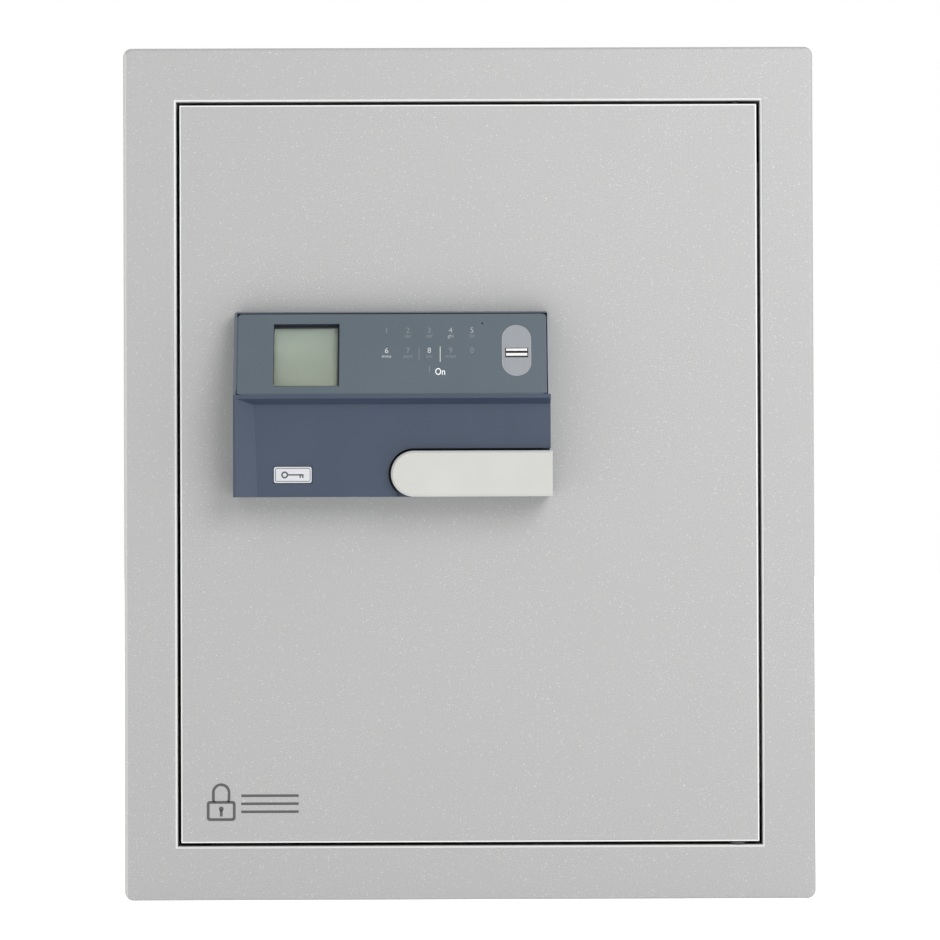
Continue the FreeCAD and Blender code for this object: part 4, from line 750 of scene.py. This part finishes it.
def detail_panel_bead():
    """A bead that fills the panel's gap at its left and bottom, where the real panel lies close."""
    middle, size, face = node_middle_on_panel("control_panel")
    wide, low, high = 0.46 * MM, -1.2 * MM, -0.08 * MM
    left, bottom = middle[0] - size[0] / 2, middle[1] - size[1] / 2
    corner = 2 * MM

    def bead(bm):
        rise, tall = (low + high) / 2, high - low
        add_block(bm, (left - 0.25 * MM, middle[1], rise), (wide, size[1] - 2 * corner, tall), ON_PANEL)
        add_block(bm, (middle[0], bottom - 0.25 * MM, rise), (size[0] - 2 * corner, wide, tall), ON_PANEL)

    new_piece("panel_bead", bead, MADE["panel_plastic"], "door")


detail_panel_bead()
detail_display()
detail_reader()
detail_marks()

# ---------------------------------------------------------------------------------------------
# Details seen with the door open, or from the sides and the back
# ---------------------------------------------------------------------------------------------

# painted shade for the hollows of the screws' cross recesses
RECESS_SHADE = printed("recess", (0.015, 0.015, 0.016))
LABEL = printed("label", (0.62, 0.62, 0.60))


def solids(name):
    """The low and high corners of each separate solid in a node."""
    mesh = NODES[name].data
    parent = list(range(len(mesh.vertices)))

    def root(i):
        """The vertex that stands for the solid that a vertex belongs to."""
        while parent[i] != i:
            parent[i] = parent[parent[i]]
            i = parent[i]
        return i

    for edge in mesh.edges:
        a, b = (root(i) for i in edge.vertices)
        parent[a] = b
    boxes = {}
    for vertex in mesh.vertices:
        low, high = boxes.setdefault(root(vertex.index), (vertex.co.copy(), vertex.co.copy()))
        for i in range(3):
            low[i] = min(low[i], vertex.co[i])
            high[i] = max(high[i], vertex.co[i])
    return list(boxes.values())


def looking(axis, sign):
    """A frame whose w points along an axis."""
    return Vector([sign if i == axis else 0 for i in range(3)]).to_track_quat("Z", "Y").to_matrix().to_4x4()


def cross_recesses(node, axis, sign, body, reach):
    """A dark cross of painted shade on the outer end of each screw of a node, for the shade in its cross
    recess. Sign 0 takes the side away from the middle.
    """
    def crosses(bm):
        for low, high in solids(node):
            middle = (low + high) / 2
            side = sign or (1 if middle[axis] > 0 else -1)
            end = middle.copy()
            end[axis] = high[axis] if side > 0 else low[axis]
            frame = Matrix.Translation(end) @ looking(axis, side)
            for turn in (0, math.pi / 2):
                add_block(bm, (0, 0, 0.03 * MM), (reach, reach * 0.24, 0.06 * MM),
                          frame @ Matrix.Rotation(turn + 0.4, 4, "Z"))

    new_piece(f"{node}_crosses", crosses, RECESS_SHADE, body)


def detail_battery_cover():
    """Grip ribs, and an arrow for the slide's direction."""
    low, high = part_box("battery_cover")
    middle = ((low.x + high.x) / 2, (low.z + high.z) / 2)
    face = sorted(vertex.co.y for vertex in NODES["battery_cover"].data.vertices)
    plate_face = face[len(face) // 2]
    frame = Matrix.Translation((0, plate_face, 0)) @ Matrix(((-1, 0, 0), (0, 0, 1), (0, 1, 0))).to_4x4()

    def ribs(bm):
        for step in range(6):
            up = middle[1] + (9 - 3 * step) * MM
            add_block(bm, (-middle[0], up, 0.25 * MM), (26 * MM, 1.2 * MM, 0.5 * MM), frame)

    soften(new_piece("battery_cover_ribs", ribs, MADE["black_plastic"], "battery_lid"),
           0.2 * MM)

    def arrow(bm):
        tip = middle[1] - 21 * MM
        points = [(-middle[0] - 4 * MM, tip + 5 * MM), (-middle[0], tip), (-middle[0] + 4 * MM, tip + 5 * MM)]
        for lift in (0, 0.05 * MM):
            bm.faces.new([bm.verts.new(frame @ Vector((*point, lift))) for point in points])
        bm.verts.ensure_lookup_table()
        for i in range(3):
            j = (i + 1) % 3
            bm.faces.new([bm.verts[k] for k in (i, j, j + 3, i + 3)])

    new_piece("battery_cover_arrow", arrow, LABEL, "battery_lid")


def detail_solenoid():
    """A paper label on the coil's yoke."""
    low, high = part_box("solenoid_body")
    size = high - low
    middle = (low + high) / 2
    new_piece("solenoid_label",
              lambda bm: add_block(bm, (middle.x, high.y + 0.04 * MM, middle.z),
                                   (size.x * 0.6, 0.08 * MM, size.z * 0.5)), LABEL, "door")


cross_recesses("cover_screws", 1, 1, "door", 3.4 * MM)
cross_recesses("housing_screws", 1, 1, "door", 4.4 * MM)
cross_recesses("bolt_screws", 0, 1, "boltwork", 4.0 * MM)
cross_recesses("wall_tie_screws", 0, 0, "cabinet", 6.0 * MM)
detail_battery_cover()
detail_solenoid()

# ---------------------------------------------------------------------------------------------
# Stage, lights and camera
# ---------------------------------------------------------------------------------------------


def make_floor():
    """A plain pale floor under the object's lowest point."""
    low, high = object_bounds()
    mesh = bpy.data.meshes.new("floor")
    reach = 9.0
    mesh.from_pydata([(-reach, -reach, low.z), (reach, -reach, low.z), (reach, reach, low.z),
                      (-reach, reach, low.z)], [], [(0, 1, 2, 3)])
    floor = bpy.data.objects.new("floor", mesh)
    scene.collection.objects.link(floor)
    tree = Tree("floor")
    cloud = tree.noise(3, 2, 0.5)
    tint = tree.colours(cloud, (0.3, (0.90, 0.90, 0.90)), (0.7, (0.93, 0.93, 0.93)))
    tree.set(colour=tint, rough=0.7, glow=0.55)
    tree.shader.inputs["Emission Color"].default_value = (1, 1, 1, 1)
    mesh.materials.append(tree.material)


def add_softbox(name, target, offset, width, height, power):
    """An area light at an offset from a target, turned to face it."""
    light = bpy.data.lights.new(name, "AREA")
    light.shape = "RECTANGLE"
    light.size = width
    light.size_y = height
    light.energy = power
    lamp = bpy.data.objects.new(name, light)
    lamp.location = target + Vector(offset)
    lamp.rotation_mode = "QUATERNION"
    lamp.rotation_quaternion = (-Vector(offset)).to_track_quat("-Z", "Y")
    scene.collection.objects.link(lamp)


def make_lights():
    """One softbox high on the right, in a white room that is darker behind the camera."""
    low, high = CAD_BOX
    target = Vector((0, low.y, 0))
    add_softbox("key", target, (0.95, -1.75, 0.95), 1.1, 1.1, 28)
    world = bpy.data.worlds.new("studio")
    world.use_nodes = True
    nodes, links = world.node_tree.nodes, world.node_tree.links
    background = nodes["Background"]
    background.inputs["Color"].default_value = (1, 1, 1, 1)
    heading = nodes.new("ShaderNodeSeparateXYZ")
    links.new(nodes.new("ShaderNodeTexCoord").outputs["Generated"], heading.inputs["Vector"])
    fade = nodes.new("ShaderNodeMapRange")
    fade.interpolation_type = "SMOOTHSTEP"
    links.new(heading.outputs["Y"], fade.inputs["Value"])
    for socket, setting in (("From Min", -1.0), ("From Max", -0.45), ("To Min", 0.47), ("To Max", 1.0)):
        fade.inputs[socket].default_value = setting
    links.new(fade.outputs["Result"], background.inputs["Strength"])
    scene.world = world


def make_camera():
    """A long lens straight in front, a little low and to the left."""
    front_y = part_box("front_frame")[0].y
    distance = 2.0
    field = 0.5403
    aim = Vector((0.0005, front_y, 0.0017))
    data = bpy.data.cameras.new("camera")
    data.sensor_width = 36
    data.lens = data.sensor_width * distance / field
    camera = bpy.data.objects.new("camera", data)
    camera.location = aim + Vector((-0.0076, -distance, -0.0217))
    turn = (aim - camera.location).to_track_quat("-Z", "Y")
    roll = Matrix.Rotation(math.radians(-0.2), 4, "Z").to_quaternion()
    camera.rotation_mode = "QUATERNION"
    camera.rotation_quaternion = turn @ roll
    scene.collection.objects.link(camera)
    scene.camera = camera


make_floor()
make_lights()
make_camera()
scene.view_settings.view_transform = "Standard"
